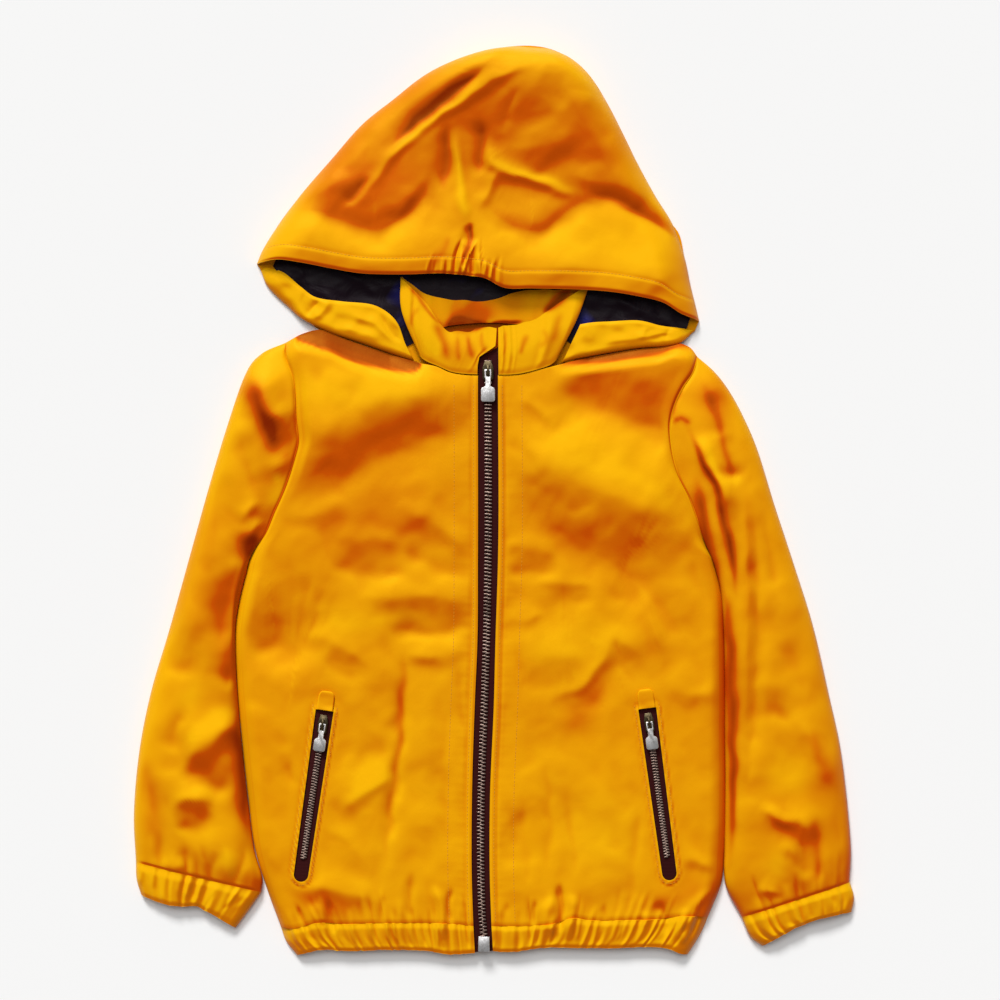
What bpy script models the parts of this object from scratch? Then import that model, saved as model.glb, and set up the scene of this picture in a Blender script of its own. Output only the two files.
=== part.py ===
"""A child's hooded raincoat, lying flat on its back with the front zip up.

Lengths are millimetres and become metres in the meshes. +X is to the right as seen from above, +Y goes from
the hem to the hood and +Z is up. Every cloth piece is one closed wall, cut where its maker would sew it.
"""

import bmesh
import bpy
import numpy as np
from mathutils import Vector
from mathutils.bvhtree import BVHTree

MM = 0.001
WALL = 1.2  # coated cotton with its inner layer
GAP = 0.3  # clearance at a seam and between layers
LOWEST_EDGE = WALL + GAP  # where an upper layer meets the layer that lies on the table
FOLD_HEIGHT = 4.0  # height of the folded side of a sleeve or cuff
ROLL = 14.0  # width over which a front panel rolls down to its side
SHOULDER_ROLL = 18.0
SHOULDER_HEIGHT = 4.6
NECK_HEIGHT = 11.0
BODY_HEIGHT = 11.6
HEM_HEIGHT = 9.6
HEM_PUFF = 2.0
CUFF_PUFF = 1.6
HOOD_ROLL = 34.0
INSET_REACH = 26.0  # how far the hood's inner side is set in sideways from its outline
STRIP_ROLL = 9.0
TAPE = 1.0  # thickness of a zip tape
CHAIN_WIDTH = 6.0
CHAIN_THICK = 1.4
POCKET_CHAIN_WIDTH = 5.0
PULL_THICK = 1.4

ORANGE = (0.86, 0.36, 0.004)
NAVY = (0.012, 0.012, 0.035)
TAPE_INK = (0.018, 0.015, 0.028)
SILVER = (0.72, 0.71, 0.69)
BRONZE = (0.30, 0.26, 0.21)

# Outlines as (x, y).
ARMHOLE = {
    "left": [(-166.4, 125.6), (-166.4, 118.4), (-160.0, 96.8), (-157.6, 64.0), (-156.0, 44.0),
             (-158.4, 34.4), (-166.4, 9.6), (-175.2, -10.4),
             (-182.4, -27.2), (-191.2, -40.0), (-196.0, -50.4), (-197.6, -58.4)],
    "right": [(162.4, 114.4), (158.4, 101.6), (150.4, 89.6), (144.8, 78.4), (140.0, 60.0), (140.8, 44.0),
              (145.6, 22.4), (156.0, 0.8),
              (164.0, -21.6), (169.6, -37.6), (174.4, -46.4)],
}
SIDE = {
    "left": [(-197.6, -58.4), (-203.2, -80.0), (-206.4, -99.2), (-205.6, -144.0), (-201.6, -191.2),
             (-196.0, -241.6), (-191.2, -278.4), (-181.6, -310.4),
             (-170.4, -340.8)],
    "right": [(174.4, -46.4), (182.4, -78.4), (184.0, -108.8), (184.8, -152.0), (184.8, -191.2),
              (185.2, -232.0), (184.0, -282.4), (181.6, -307.2),
              (176.0, -321.6), (171.2, -332.8)],
}
HEM_SIDE = {
    "left": [(-170.4, -340.8), (-166.4, -352.0), (-157.6, -363.2)],
    "right": [(171.2, -332.8), (165.6, -345.6), (155.2, -362.4)],
}
CENTRE = {
    "left": [(-12.8, 99.2), (-12.8, -48.0), (-13.2, -112.0), (-15.2, -160.0), (-17.6, -240.0),
             (-17.6, -304.0), (-16.4, -339.2)],
    "right": [(3.2, 99.2), (3.2, -48.0), (1.2, -112.0), (0.0, -160.0), (-3.2, -240.0), (-3.2, -304.0),
              (-2.0, -339.2)],
}
HEM_CENTRE = {
    "left": [(-16.4, -339.2), (-15.2, -360.8)],
    "right": [(-2.0, -339.2), (-0.8, -359.2)],
}
SHOULDER = {
    "left": [(-166.4, 125.6), (-152.8, 132.8), (-139.2, 136.0), (-119.2, 128.8), (-91.2, 119.2),
             (-68.8, 112.0), (-59.2, 109.2),
             (-44.8, 106.0), (-36.0, 102.0), (-22.4, 99.6), (-12.8, 99.2)],
    "right": [(162.4, 114.4), (156.8, 121.6), (149.6, 124.8), (132.8, 122.0), (115.2, 120.4),
              (90.4, 116.4), (66.4, 111.6),
              (49.6, 107.2), (36.0, 103.6), (19.2, 99.6), (3.2, 99.2)],
}
HEM_SEAM = {
    "left": [(-170.4, -340.8), (-161.6, -341.6), (-140.8, -336.8), (-119.2, -337.6), (-91.2, -336.8),
             (-74.4, -336.8), (-32.8, -337.6), (-16.4, -339.2)],
    "right": [(171.2, -332.8), (152.0, -331.2), (132.8, -333.6), (106.4, -334.4), (74.4, -334.4),
              (62.4, -332.8), (49.6, -336.8), (25.6, -339.2),
              (-2.0, -339.2)],
}
HEM_EDGE = {
    "left": [(-157.6, -363.2), (-147.2, -360.0), (-137.6, -358.4), (-115.2, -359.2), (-90.4, -358.4),
             (-64.8, -358.4), (-52.0, -359.2), (-38.4, -361.6),
             (-15.2, -360.8)],
    "right": [(155.2, -362.4), (148.8, -361.6), (141.6, -358.4), (116.0, -356.0), (100.8, -356.8),
              (68.8, -356.8), (37.6, -356.8), (13.6, -360.0),
              (-0.8, -359.2)],
}
HOOD_OUTLINE = [(-189.6, 188.8), (-176.0, 214.4), (-154.4, 244.0), (-129.6, 272.8), (-105.6, 300.0),
                (-80.8, 320.0), (-56.0, 339.2), (-32.0, 351.2),
                (-7.2, 359.2), (16.8, 363.0), (29.6, 363.2), (41.6, 361.6), (61.6, 352.8), (78.4, 336.8),
                (90.4, 317.6), (103.2, 292.8),
                (115.2, 268.0), (127.2, 244.0), (139.2, 224.0), (147.2, 214.4), (152.0, 195.2),
                (157.6, 168.0), (164.0, 143.2)]
BRIM_EDGE = [(-189.6, 188.8), (-173.6, 191.2), (-154.4, 188.8), (-129.6, 184.0), (-105.6, 180.0),
             (-88.0, 179.2), (-66.4, 179.2), (-44.0, 180.0),
             (-22.4, 178.4), (-7.2, 176.0), (7.2, 168.8), (29.6, 168.0), (66.4, 167.2), (90.4, 165.6),
             (115.2, 161.6), (134.4, 156.8),
             (149.6, 148.0), (164.0, 143.2)]
BACK_NECK = [(-59.2, 110.4), (-53.6, 128.0), (-39.2, 137.6), (-4.0, 142.4), (28.8, 140.0), (44.0, 128.8),
             (49.6, 108.0)]
LINING = [(-176.8, 186.8), (-161.6, 217.6), (-119.2, 248.0), (-43.2, 264.0), (52.8, 264.0),
          (116.8, 240.0), (139.2, 208.0), (156.8, 145.6),
          (153.6, 136.0), (132.8, 132.0), (84.8, 126.4), (57.6, 121.6), (36.8, 131.2), (-4.0, 136.0),
          (-43.2, 132.8), (-64.0, 123.2),
          (-107.2, 134.4), (-140.8, 153.6), (-164.8, 172.8)]

# Sections of each sleeve from armhole to cuff seam: outer x, y, inner x, y, share of the armhole's bow,
# height.
SLEEVE = {
    "left": [
        (-166.4, 125.6, -197.6, -58.4, 1.00, 11.0),
        (-185.6, 116.8, -201.6, -68.8, 0.60, 13.0),
        (-198.4, 100.8, -204.4, -82.4, 0.36, 14.0),
        (-212.8, 60.0, -207.6, -104.0, 0.18, 14.5),
        (-227.2, 12.0, -208.4, -137.6, 0.06, 14.5),
        (-243.2, -45.6, -205.6, -172.0, 0.0, 15.0),
        (-259.2, -103.2, -201.6, -209.6, 0.0, 15.0),
        (-273.6, -152.0, -197.2, -246.4, 0.0, 15.0),
        (-283.2, -200.0, -192.8, -278.4, 0.0, 15.0),
        (-287.6, -249.6, -188.0, -300.8, 0.0, 14.5),
        (-286.0, -288.8, -185.6, -312.8, 0.0, 12.5),
    ],
    "right": [
        (162.4, 114.4, 174.4, -46.4, 1.00, 11.0),
        (176.0, 102.4, 180.4, -58.4, 0.60, 13.0),
        (187.2, 88.0, 185.2, -75.2, 0.36, 14.0),
        (198.4, 68.0, 186.8, -108.8, 0.18, 14.5),
        (210.4, 40.0, 187.2, -148.0, 0.06, 14.5),
        (224.0, -4.0, 187.2, -184.0, 0.0, 15.0),
        (238.4, -48.0, 187.6, -220.0, 0.0, 15.0),
        (254.4, -99.2, 187.2, -252.0, 0.0, 15.0),
        (267.2, -154.4, 186.4, -280.0, 0.0, 15.0),
        (277.6, -204.0, 186.0, -296.0, 0.0, 15.0),
        (284.8, -272.0, 186.8, -311.2, 0.0, 14.5),
        (284.0, -304.8, 197.6, -332.8, 0.0, 12.5),
    ],
}
CUFF_OUTER = {"left": [(-286.0, -288.8), (-285.2, -304.0), (-281.6, -315.2)], "right": [(284.0, -304.8),
                       (287.6, -317.6), (285.6, -328.8)]}
CUFF_INNER = {"left": [(-185.6, -312.8), (-196.8, -328.8), (-206.4, -341.6)], "right": [(197.6, -332.8),
                       (206.4, -350.4), (214.4, -356.0)]}
CUFF_EDGE = {
    "left": [(-281.6, -315.2), (-267.2, -320.8), (-256.8, -323.2), (-247.2, -324.0), (-236.8, -324.0),
             (-228.8, -328.0), (-219.2, -333.6), (-206.4, -341.6)],
    "right": [(285.6, -328.8), (272.8, -331.2), (258.4, -334.4), (240.0, -341.6), (225.6, -349.6),
              (214.4, -356.0)],
}

# Sections of the hood from brim to crown: left x, y, right x, y, share of the brim's bow, height.
HOOD = [
    (-189.6, 188.8, 164.0, 143.2, 1.0, 19.5),
    (-184.8, 200.0, 160.4, 158.4, 1.0, 20.0),
    (-174.4, 216.8, 157.2, 171.2, 0.85, 19.5),
    (-154.4, 244.0, 152.0, 195.2, 0.6, 17.5),
    (-129.6, 272.8, 140.8, 220.8, 0.4, 16.0),
    (-105.6, 300.0, 127.2, 244.0, 0.28, 16.5),
    (-80.8, 320.0, 112.0, 274.4, 0.18, 18.5),
    (-56.0, 339.2, 95.2, 308.0, 0.10, 21.0),
    (-32.0, 351.2, 78.4, 336.8, 0.05, 22.5),
    (-7.2, 359.2, 61.6, 352.8, 0.0, 21.0),
    (15.2, 362.9, 43.2, 361.1, 0.0, 11.0),
]

# Strips of the hood's opening, from its corner to the neck: outer x, y, free x, y, height.
HOOD_STRIP = {
    "left": [
        (-186.4, 183.2, -182.4, 186.0, 4.4),
        (-180.8, 170.4, -168.0, 181.6, 6.6),
        (-166.4, 156.0, -154.4, 170.4, 7.0),
        (-152.8, 145.6, -141.6, 161.6, 8.0),
        (-131.2, 135.2, -120.8, 158.4, 8.5),
        (-103.2, 125.6, -95.2, 155.2, 9.0),
        (-80.8, 117.6, -78.4, 143.2, 9.5),
        (-64.8, 112.0, -70.4, 124.0, 9.5),
    ],
    "right": [
        (54.4, 109.6, 68.8, 140.0, 9.5),
        (66.4, 113.6, 78.4, 141.6, 9.5),
        (90.4, 118.4, 92.8, 142.4, 9.0),
        (115.2, 122.4, 115.2, 143.2, 8.5),
        (136.0, 124.0, 132.8, 139.2, 8.0),
        (149.6, 127.2, 145.6, 137.6, 7.0),
        (160.8, 135.2, 155.2, 136.8, 3.0),
    ],
}

# Where the hood's lower layer meets each shoulder, as a share of the shoulder line.
UNDER_SHOULDER = {"left": 0.175, "right": 0.12}

# Stations round the collar: seam x, y, z, middle x, y, z, top x, y, z. The back half lies lowest.
COLLAR = [
    (-13.2, 100.0, 11.0, -1.6, 116.8, 14.0, 2.1, 136.8, 16.0),
    (-22.4, 100.4, 10.9, -13.6, 118.4, 14.0, -10.4, 137.6, 16.6),
    (-29.6, 101.2, 10.8, -23.2, 118.4, 13.4, -19.2, 134.4, 16.0),
    (-36.0, 102.8, 10.8, -32.0, 118.4, 14.0, -29.6, 135.2, 16.6),
    (-44.8, 106.8, 10.6, -43.2, 123.2, 14.0, -39.2, 136.0, 16.4),
    (-52.8, 110.0, 10.2, -56.0, 132.8, 13.6, -53.6, 156.0, 15.6),
    (-58.0, 113.6, 9.0, -67.2, 142.4, 12.4, -65.6, 168.8, 14.2),
    (-60.4, 118.4, 6.6, -73.6, 150.4, 8.6, -74.4, 176.8, 9.6),
    (-56.8, 126.4, 4.2, -69.6, 153.6, 4.8, -69.6, 175.2, 5.6),
    (-48.8, 134.4, 3.1, -52.8, 148.8, 3.4, -54.4, 164.8, 4.2),
    (-37.6, 138.8, 3.1, -38.4, 150.4, 3.4, -38.4, 160.8, 4.0),
    (-21.6, 140.8, 3.1, -20.8, 150.4, 3.4, -20.8, 159.2, 4.0),
    (-4.0, 141.6, 3.1, -4.0, 151.2, 3.4, -2.4, 160.0, 4.0),
    (14.4, 140.8, 3.1, 15.2, 152.0, 3.4, 16.0, 164.8, 4.0),
    (30.4, 138.4, 3.1, 32.8, 152.0, 3.4, 35.2, 168.0, 4.0),
    (42.4, 130.4, 3.1, 50.4, 148.8, 3.4, 53.6, 168.8, 4.2),
    (48.0, 124.0, 4.2, 63.2, 148.8, 4.8, 68.8, 173.6, 4.8),
    (51.6, 116.8, 6.6, 66.4, 144.8, 7.6, 76.0, 172.8, 6.4),
    (50.0, 112.0, 9.0, 61.6, 140.0, 10.8, 69.6, 167.2, 8.8),
    (44.8, 107.6, 10.2, 52.8, 134.4, 12.4, 58.4, 161.6, 11.6),
    (36.0, 104.4, 10.6, 40.8, 127.2, 14.0, 44.0, 150.4, 14.6),
    (27.2, 102.0, 10.8, 29.6, 123.2, 13.2, 31.2, 144.0, 15.8),
    (19.2, 100.4, 10.8, 20.8, 120.8, 14.0, 20.8, 140.8, 16.6),
    (11.2, 99.8, 10.9, 12.0, 119.2, 13.4, 12.0, 139.6, 16.0),
    (3.6, 99.8, 11.0, 3.5, 118.4, 14.2, 3.4, 137.2, 16.4),
]

# The collar's left front edge, which leaves room for the slider before it closes on the right one.
COLLAR_NOTCH = [(-13.2, 100.0), (-13.0, 107.2), (-11.6, 114.0), (1.1, 122.4), (1.8, 129.6), (2.1, 136.8)]

# Folds and troughs as x, y at both ends, width and height.
BODY_FOLDS = [
    (-165.6, 5.6, -124.0, 61.6, 34, -2.2), (-124.0, 61.6, -60.8, 83.2, 36, -2.0),
    (-60.8, 83.2, -19.2, 65.6, 32, -1.6),
    (-151.2, -4.0, -113.6, 41.6, 34, 1.6), (-127.2, -45.6, -73.6, -45.6, 22, -1.8),
    (-81.6, -9.6, -20.8, -52.8, 24, -1.5),
    (-119.2, -72.0, -19.2, -75.2, 30, 1.8), (-84.8, -96.0, -16.0, -94.4, 22, -2.0),
    (-72.0, -116.0, -16.0, -112.0, 22, 1.2),
    (-73.6, -131.2, -84.8, -280.0, 14, -1.8), (-144.0, -112.8, -100.0, -134.4, 22, -1.4),
    (-31.2, -152.0, -38.4, -288.0, 20, -1.2),
    (64.8, 93.6, 148.8, 65.6, 32, -1.8), (22.4, 76.8, 52.8, 48.0, 18, -1.6),
    (52.8, 70.4, 156.8, -16.0, 36, 1.6),
    (30.4, 1.6, 124.0, -24.0, 34, -1.8), (20.8, 38.4, 41.6, 11.2, 16, -1.4),
    (10.4, -49.6, 52.8, -51.2, 18, -1.4),
    (40.8, -80.0, 76.8, -83.2, 16, -1.2), (54.4, -160.0, 97.6, -116.8, 26, -2.0),
    (97.6, -116.8, 138.4, -131.2, 20, -1.6),
    (120.0, -79.2, 138.4, -128.0, 14, -1.4), (124.8, -45.6, 169.6, -105.6, 22, -1.6),
    (20.8, -128.0, 28.8, -288.0, 22, -1.2),
    (84.8, -208.0, 89.6, -304.0, 20, -1.2),
]
SLEEVE_FOLDS = {
    "left": [
        (-199.2, 100.0, -171.2, 54.4, 18, -4.0), (-193.6, -44.8, -180.8, -16.0, 14, -2.4),
        (-222.4, -48.0, -206.4, -160.0, 22, -2.2),
        (-259.2, -196.0, -207.2, -160.0, 20, 2.0), (-247.2, -205.6, -203.2, -188.0, 16, -2.2),
        (-252.8, -248.0, -223.2, -240.0, 18, -1.8),
        (-249.6, -80.0, -254.4, -152.0, 26, 1.4),
    ],
    "right": [
        (157.6, 46.4, 184.0, -16.0, 14, -4.2), (169.6, 49.6, 195.2, 11.2, 14, 2.4),
        (195.2, 0.0, 200.0, -112.0, 16, 2.2),
        (206.4, 16.0, 211.2, -112.0, 14, -1.8), (236.8, -252.0, 254.4, -294.4, 18, -1.8),
        (220.8, -160.0, 206.4, -264.0, 18, -1.4),
    ],
}
HOOD_FOLDS = [
    (32.8, 353.6, -19.2, 310.4, 13, 4.0), (-19.2, 310.4, -83.2, 259.2, 13, 4.2),
    (-83.2, 259.2, -118.4, 230.4, 12, 3.0),
    (-12.8, 337.6, -79.2, 286.4, 14, -5.0), (-97.6, 251.2, -115.2, 236.8, 10, -2.6),
    (-35.2, 294.4, -33.6, 228.0, 9, -2.6),
    (-28.8, 272.0, -20.8, 214.4, 9, 2.4), (-8.0, 280.0, -9.6, 259.2, 8, -2.4),
    (3.2, 259.2, -16.0, 214.4, 9, 2.4),
    (4.8, 264.0, 62.4, 236.8, 14, 2.8), (74.4, 248.0, 139.2, 214.4, 12, -2.8),
    (-59.2, 227.2, -118.4, 228.8, 20, -1.6),
    (52.8, 235.2, 20.8, 219.2, 22, -1.6), (-131.2, 265.6, -163.2, 228.8, 14, -2.0),
]

# Creases of the gathers as shares of the way from the side to the centre.
HEM_GATHERS = {
    "left": [0.10, 0.22, 0.26, 0.30, 0.37, 0.44, 0.51, 0.64, 0.68, 0.74, 0.78, 0.85, 0.89],
    "right": [0.13, 0.17, 0.21, 0.25, 0.28, 0.32, 0.35, 0.39, 0.50, 0.55, 0.59, 0.66, 0.70, 0.84, 0.89,
              0.94],
}
CUFF_GATHERS = {
    "left": [0.10, 0.19, 0.27, 0.36, 0.44, 0.54, 0.63, 0.72, 0.82, 0.91],
    "right": [0.09, 0.18, 0.27, 0.35, 0.45, 0.53, 0.62, 0.71, 0.80, 0.90],
}
BRIM_GATHERS = [0.405, 0.43, 0.455, 0.475, 0.50, 0.525, 0.55]

# Zip pieces: pocket windows from top to bottom as x, y at both ends and half widths.
POCKET = {
    "left": (-134.8, -167.6, -154.4, -304.0, 7.2, 5.8),
    "right": (122.0, -166.0, 140.4, -302.8, 7.2, 5.8),
}
TAPE_TOP = 117.6
TAPE_SLANT = 0.5  # rise of the tapes' upper end towards the right
MAIN_BAIL = (-2.8, 103.2)
POCKET_BAIL_AT = 11.0  # below the top of the window

ACROSS = np.array([0, 0.02, 0.08, 0.18, 0.30, 0.42, 0.55, 0.68, 0.80, 0.91, 0.98, 1.0])
PANEL_ACROSS = np.array([0, 0.004, 0.014, 0.034, 0.075, 0.12, 0.175, 0.24, 0.305, 0.37, 0.435, 0.50, 0.565,
                         0.63, 0.70, 0.77, 0.84, 0.91, 0.98, 1.0])
HOOD_ROLL_STATIONS = np.array([0, 0.008, 0.03, 0.07, 0.13, 0.19, 0.25])
SIDE_ROWS = np.array([0.02, 0.08, 0.16, 0.25, 0.34, 0.43, 0.52, 0.61, 0.70, 0.79, 0.88, 0.95, 1.0])


def clear_scene():
    for old in list(bpy.data.objects):
        bpy.data.objects.remove(old, do_unlink=True)


def material(name, colour, roughness, metallic=0.0):
    """One Principled material per node."""
    made = bpy.data.materials.new(name)
    made.use_nodes = True
    shader = made.node_tree.nodes["Principled BSDF"]
    shader.inputs["Base Color"].default_value = (*colour, 1.0)
    shader.inputs["Roughness"].default_value = roughness
    shader.inputs["Metallic"].default_value = metallic
    return made


def solid(name, points, faces, colour, roughness=0.5, metallic=0.0, origin=(0, 0, 0)):
    """A closed mesh object from points in millimetres, with its origin where asked."""
    mesh = bpy.data.meshes.new(name)
    work = bmesh.new()
    corners = [work.verts.new(Vector(point - np.array(origin)) * MM) for point in np.asarray(points, float)]
    for face in faces:
        work.faces.new([corners[i] for i in face])
    bmesh.ops.recalc_face_normals(work, faces=work.faces)
    if work.calc_volume(signed=True) < 0:
        bmesh.ops.reverse_faces(work, faces=work.faces)
    work.to_mesh(mesh)
    work.free()
    made = bpy.data.objects.new(name, mesh)
    made.location = Vector(origin) * MM
    mesh.materials.append(material(name, colour, roughness, metallic))
    bpy.context.scene.collection.objects.link(made)
    return made


def at_knots(knots, values, at):
    """A smooth curve through the values, read at the places `at`."""
    values, at = np.asarray(values, float), np.asarray(at, float)
    slope = np.gradient(values, knots, axis=0)
    i = np.clip(np.searchsorted(knots, at, side="right") - 1, 0, len(knots) - 2)
    width = (knots[i + 1] - knots[i])[:, None]
    u = (at - knots[i])[:, None] / width
    return (
        (2 * u**3 - 3 * u**2 + 1) * values[i]
        + (u**3 - 2 * u**2 + u) * width * slope[i]
        + (3 * u**2 - 2 * u**3) * values[i + 1]
        + (u**3 - u**2) * width * slope[i + 1]
    )


def along(points, at):
    """Points at the shares `at` of a smooth curve's length."""
    points = np.asarray(points, float)
    steps = np.linalg.norm(np.diff(points[:, :2], axis=0), axis=1)
    return at_knots(np.concatenate([[0.0], np.cumsum(steps)]) / steps.sum(), points, at)


def sections(table, at):
    """Rows of a section table at the shares `at` from its first row to its last."""
    return at_knots(np.linspace(0, 1, len(table)), table, at)


def patch(top, bottom, first, last, down):
    """A plan grid between four boundary curves, with rows at the shares `down`."""
    t = down[:, None, None]
    s = column_shares(top)[None, :, None]
    corners = (
        (1 - t) * (1 - s) * top[0] + (1 - t) * s * top[-1] + t * (1 - s) * bottom[0] + t * s * bottom[-1]
    )
    grid = (1 - t) * top[None] + t * bottom[None] + (1 - s) * first[:, None] + s * last[:, None] - corners
    return grid


def column_shares(curve):
    steps = np.linalg.norm(np.diff(curve, axis=0), axis=1)
    return np.concatenate([[0.0], np.cumsum(steps)]) / steps.sum()


def roll(distance, width):
    """0 at an edge, rising to 1 over a quarter of an ellipse."""
    q = np.clip(distance / width, 0, 1)
    return np.sqrt(1 - (1 - q) ** 2)


def dome(s, power=4):
    return np.sqrt(np.clip(1 - np.abs(2 * s - 1) ** power, 0, 1))


def relief(plan, folds):
    """Height that the folds add at each plan point."""
    total = np.zeros(plan.shape[:-1])
    for x0, y0, x1, y1, width, height in folds:
        start, run = np.array([x0, y0]), np.array([x1 - x0, y1 - y0])
        length = np.hypot(*run)
        offset = plan - start
        reach = (offset @ run) / length
        side = np.abs(offset[..., 0] * run[1] - offset[..., 1] * run[0]) / length
        beyond = np.maximum(0, np.maximum(-reach, reach - length))
        away = np.clip(np.hypot(side, beyond) / (0.75 * width), 0, 1)
        total += height * np.cos(away * np.pi / 2) ** 2
    return total


def puffs(s, creases):
    """0 at each crease of a gather and at the ends, up to 1 between two of them."""
    marks = np.concatenate([[0.0], creases, [1.0]])
    i = np.clip(np.searchsorted(marks, s, side="right") - 1, 0, len(marks) - 2)
    q = (s - marks[i]) / (marks[i + 1] - marks[i])
    width = np.clip((marks[i + 1] - marks[i]) / 0.09, 0.45, 1.0)
    return width * np.sin(np.pi * np.clip(q, 0, 1)) ** 0.8


def gather_stations(creases, extra, within=(0.22, 0.5, 0.78)):
    """Column places: each crease, and those `within` the puff between two neighbours."""
    marks = np.concatenate([[0.0], creases, [1.0]])
    between = [a + (b - a) * k for a, b in zip(marks[:-1], marks[1:]) for k in within]
    found = np.unique(np.round(np.concatenate([marks, between, extra]), 4))
    return found[np.concatenate([[True], np.diff(found) > 0.0035])]


def normals(grid, ring=False):
    """Unit outward normals of a grid of points; its highest point faces up. A ring's columns close up."""
    down = np.gradient(grid, axis=0)
    if ring:
        across = np.roll(grid, -1, axis=1) - np.roll(grid, 1, axis=1)
    else:
        across = np.gradient(grid, axis=1)
    found = np.cross(down, across)
    found /= np.maximum(np.linalg.norm(found, axis=-1, keepdims=True), 1e-9)
    highest = np.unravel_index(grid[..., 2].argmax(), grid.shape[:2])
    return found * np.sign(found[highest][2])


def upright(offset, line):
    """Keeps an offset along its edge line in plan, so that the cut edge stands upright."""
    run = np.gradient(line[:, :2], axis=0)
    run /= np.maximum(np.linalg.norm(run, axis=1, keepdims=True), 1e-9)
    offset[:, :2] = run * (offset[:, :2] * run).sum(axis=1, keepdims=True)
    return offset / np.linalg.norm(offset, axis=1, keepdims=True)


def level(offset):
    """Keeps an offset level, so that the edge's lower side stays at its height."""
    offset[:, 2] = 0
    return offset / np.maximum(np.linalg.norm(offset, axis=1, keepdims=True), 1e-9)


def inner_side(grid, ring=False, cut=(), resting=(), thick=WALL):
    """The wall's other side. `cut` and `resting` name the edges: top, bottom, first, last."""
    out = normals(grid, ring)
    edge = {"top": np.s_[0], "bottom": np.s_[-1], "first": np.s_[:, 0], "last": np.s_[:, -1]}
    for name in cut:
        out[edge[name]] = upright(out[edge[name]].copy(), grid[edge[name]])
    for name in resting:
        out[edge[name]] = level(out[edge[name]].copy())
    return grid - out * thick


def wall(name, outer, inner, colour, ring=False, roughness=0.5, metallic=0.0):
    """One closed wall from its two sides, shaded smooth but for its cut edges."""
    rows, cols = outer.shape[:2]
    points = np.concatenate([outer.reshape(-1, 3), inner.reshape(-1, 3)])
    base = rows * cols
    faces = []

    def quad(a, b, c, d):
        faces.extend([(a, b, c), (a, c, d)])

    across = range(cols if ring else cols - 1)
    for i in range(rows - 1):
        for j in across:
            k = (j + 1) % cols
            a, b, c, d = i * cols + j, (i + 1) * cols + j, (i + 1) * cols + k, i * cols + k
            quad(a, b, c, d)
            quad(base + a, base + d, base + c, base + b)
    for j in across:
        k = (j + 1) % cols
        for i in (0, rows - 1):
            quad(i * cols + j, i * cols + k, base + i * cols + k, base + i * cols + j)
    if not ring:
        for i in range(rows - 1):
            for j in (0, cols - 1):
                a, b = i * cols + j, (i + 1) * cols + j
                quad(a, base + a, base + b, b)
    made = solid(name, points, faces, colour, roughness, metallic)
    made.data.shade_smooth()
    made.data.set_sharp_from_angle(angle=np.radians(50))
    return made


def slab(name, outline, low, high, colour, roughness=0.5, metallic=0.0, origin=(0, 0, 0)):
    """A flat piece between two heights."""
    outline = np.asarray(outline, float)
    n = len(outline)
    points = [(*p, low) for p in outline] + [(*p, high) for p in outline]
    faces = [tuple(range(n - 1, -1, -1)), tuple(range(n, 2 * n))]
    faces += [(i, (i + 1) % n, n + (i + 1) % n, n + i) for i in range(n)]
    return solid(name, points, faces, colour, roughness, metallic, origin)


def cut_away(target, cutter, operation="DIFFERENCE"):
    """Applies an exact Boolean and removes the helper."""
    bpy.context.view_layer.update()
    change = target.modifiers.new("cut", "BOOLEAN")
    change.operation, change.solver, change.object = operation, "EXACT", cutter
    graph = bpy.context.evaluated_depsgraph_get()
    mesh = bpy.data.meshes.new_from_object(target.evaluated_get(graph))
    target.modifiers.clear()
    target.data = mesh
    bpy.data.objects.remove(cutter, do_unlink=True)
    return target


# Body ------------------------------------------------------------------------------------------------------


def armhole_height(s):
    return FOLD_HEIGHT + (11.0 - FOLD_HEIGHT) * dome(s)


def panel_edge(side):
    """Side boundary of a front panel: the armhole at the sleeve's own stations, then the side seam."""
    hole = along(ARMHOLE[side], ACROSS)
    seam = along(SIDE[side], SIDE_ROWS)
    height = np.concatenate([armhole_height(ACROSS), np.full(len(seam), LOWEST_EDGE)])
    return np.concatenate([hole, seam]), height


def panel_grid(side):
    """Outer side of a front panel."""
    first, edge_height = panel_edge(side)
    down = (first[0, 1] - first[:, 1]) / (first[0, 1] - first[-1, 1])
    last = along(CENTRE[side], down)
    top = along(SHOULDER[side], PANEL_ACROSS)
    bottom = along(HEM_SEAM[side], PANEL_ACROSS) + (0, GAP)
    first[-1], last[-1] = bottom[0], bottom[-1]
    plan = patch(top, bottom, first, last, down)
    from_side = np.linalg.norm(plan - plan[:, :1], axis=-1)
    from_top = np.linalg.norm(plan - plan[:1], axis=-1)
    height = BODY_HEIGHT + relief(plan, BODY_FOLDS)
    height = edge_height[:, None] + (height - edge_height[:, None]) * roll(from_side, ROLL)
    neck = np.clip((PANEL_ACROSS - 0.55) / 0.2, 0, 1)
    start = SHOULDER_HEIGHT + (NECK_HEIGHT - SHOULDER_HEIGHT) * neck
    start[0] = FOLD_HEIGHT
    height = start + (height - start) * roll(from_top, SHOULDER_ROLL)
    height[:, 0] = edge_height
    return np.dstack([plan, height])


def panel_inner(grid):
    out = normals(grid)
    holes = len(ACROSS)
    out[:holes, 0] = upright(out[:holes, 0].copy(), grid[:holes, 0])
    out[holes:, 0] = level(out[holes:, 0].copy())
    for edge in (np.s_[0], np.s_[-1], np.s_[:, -1]):
        out[edge] = upright(out[edge].copy(), grid[edge])
    out[holes:-1, 0] = level(out[holes:-1, 0].copy())
    return grid - out * WALL


def build_panels():
    made = {}
    for side in ("left", "right"):
        grid = panel_grid(side)
        inner = panel_inner(grid)
        wall(f"front_{side}_panel", grid, inner, ORANGE)
        made[side] = (grid, inner)
    return made


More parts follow.
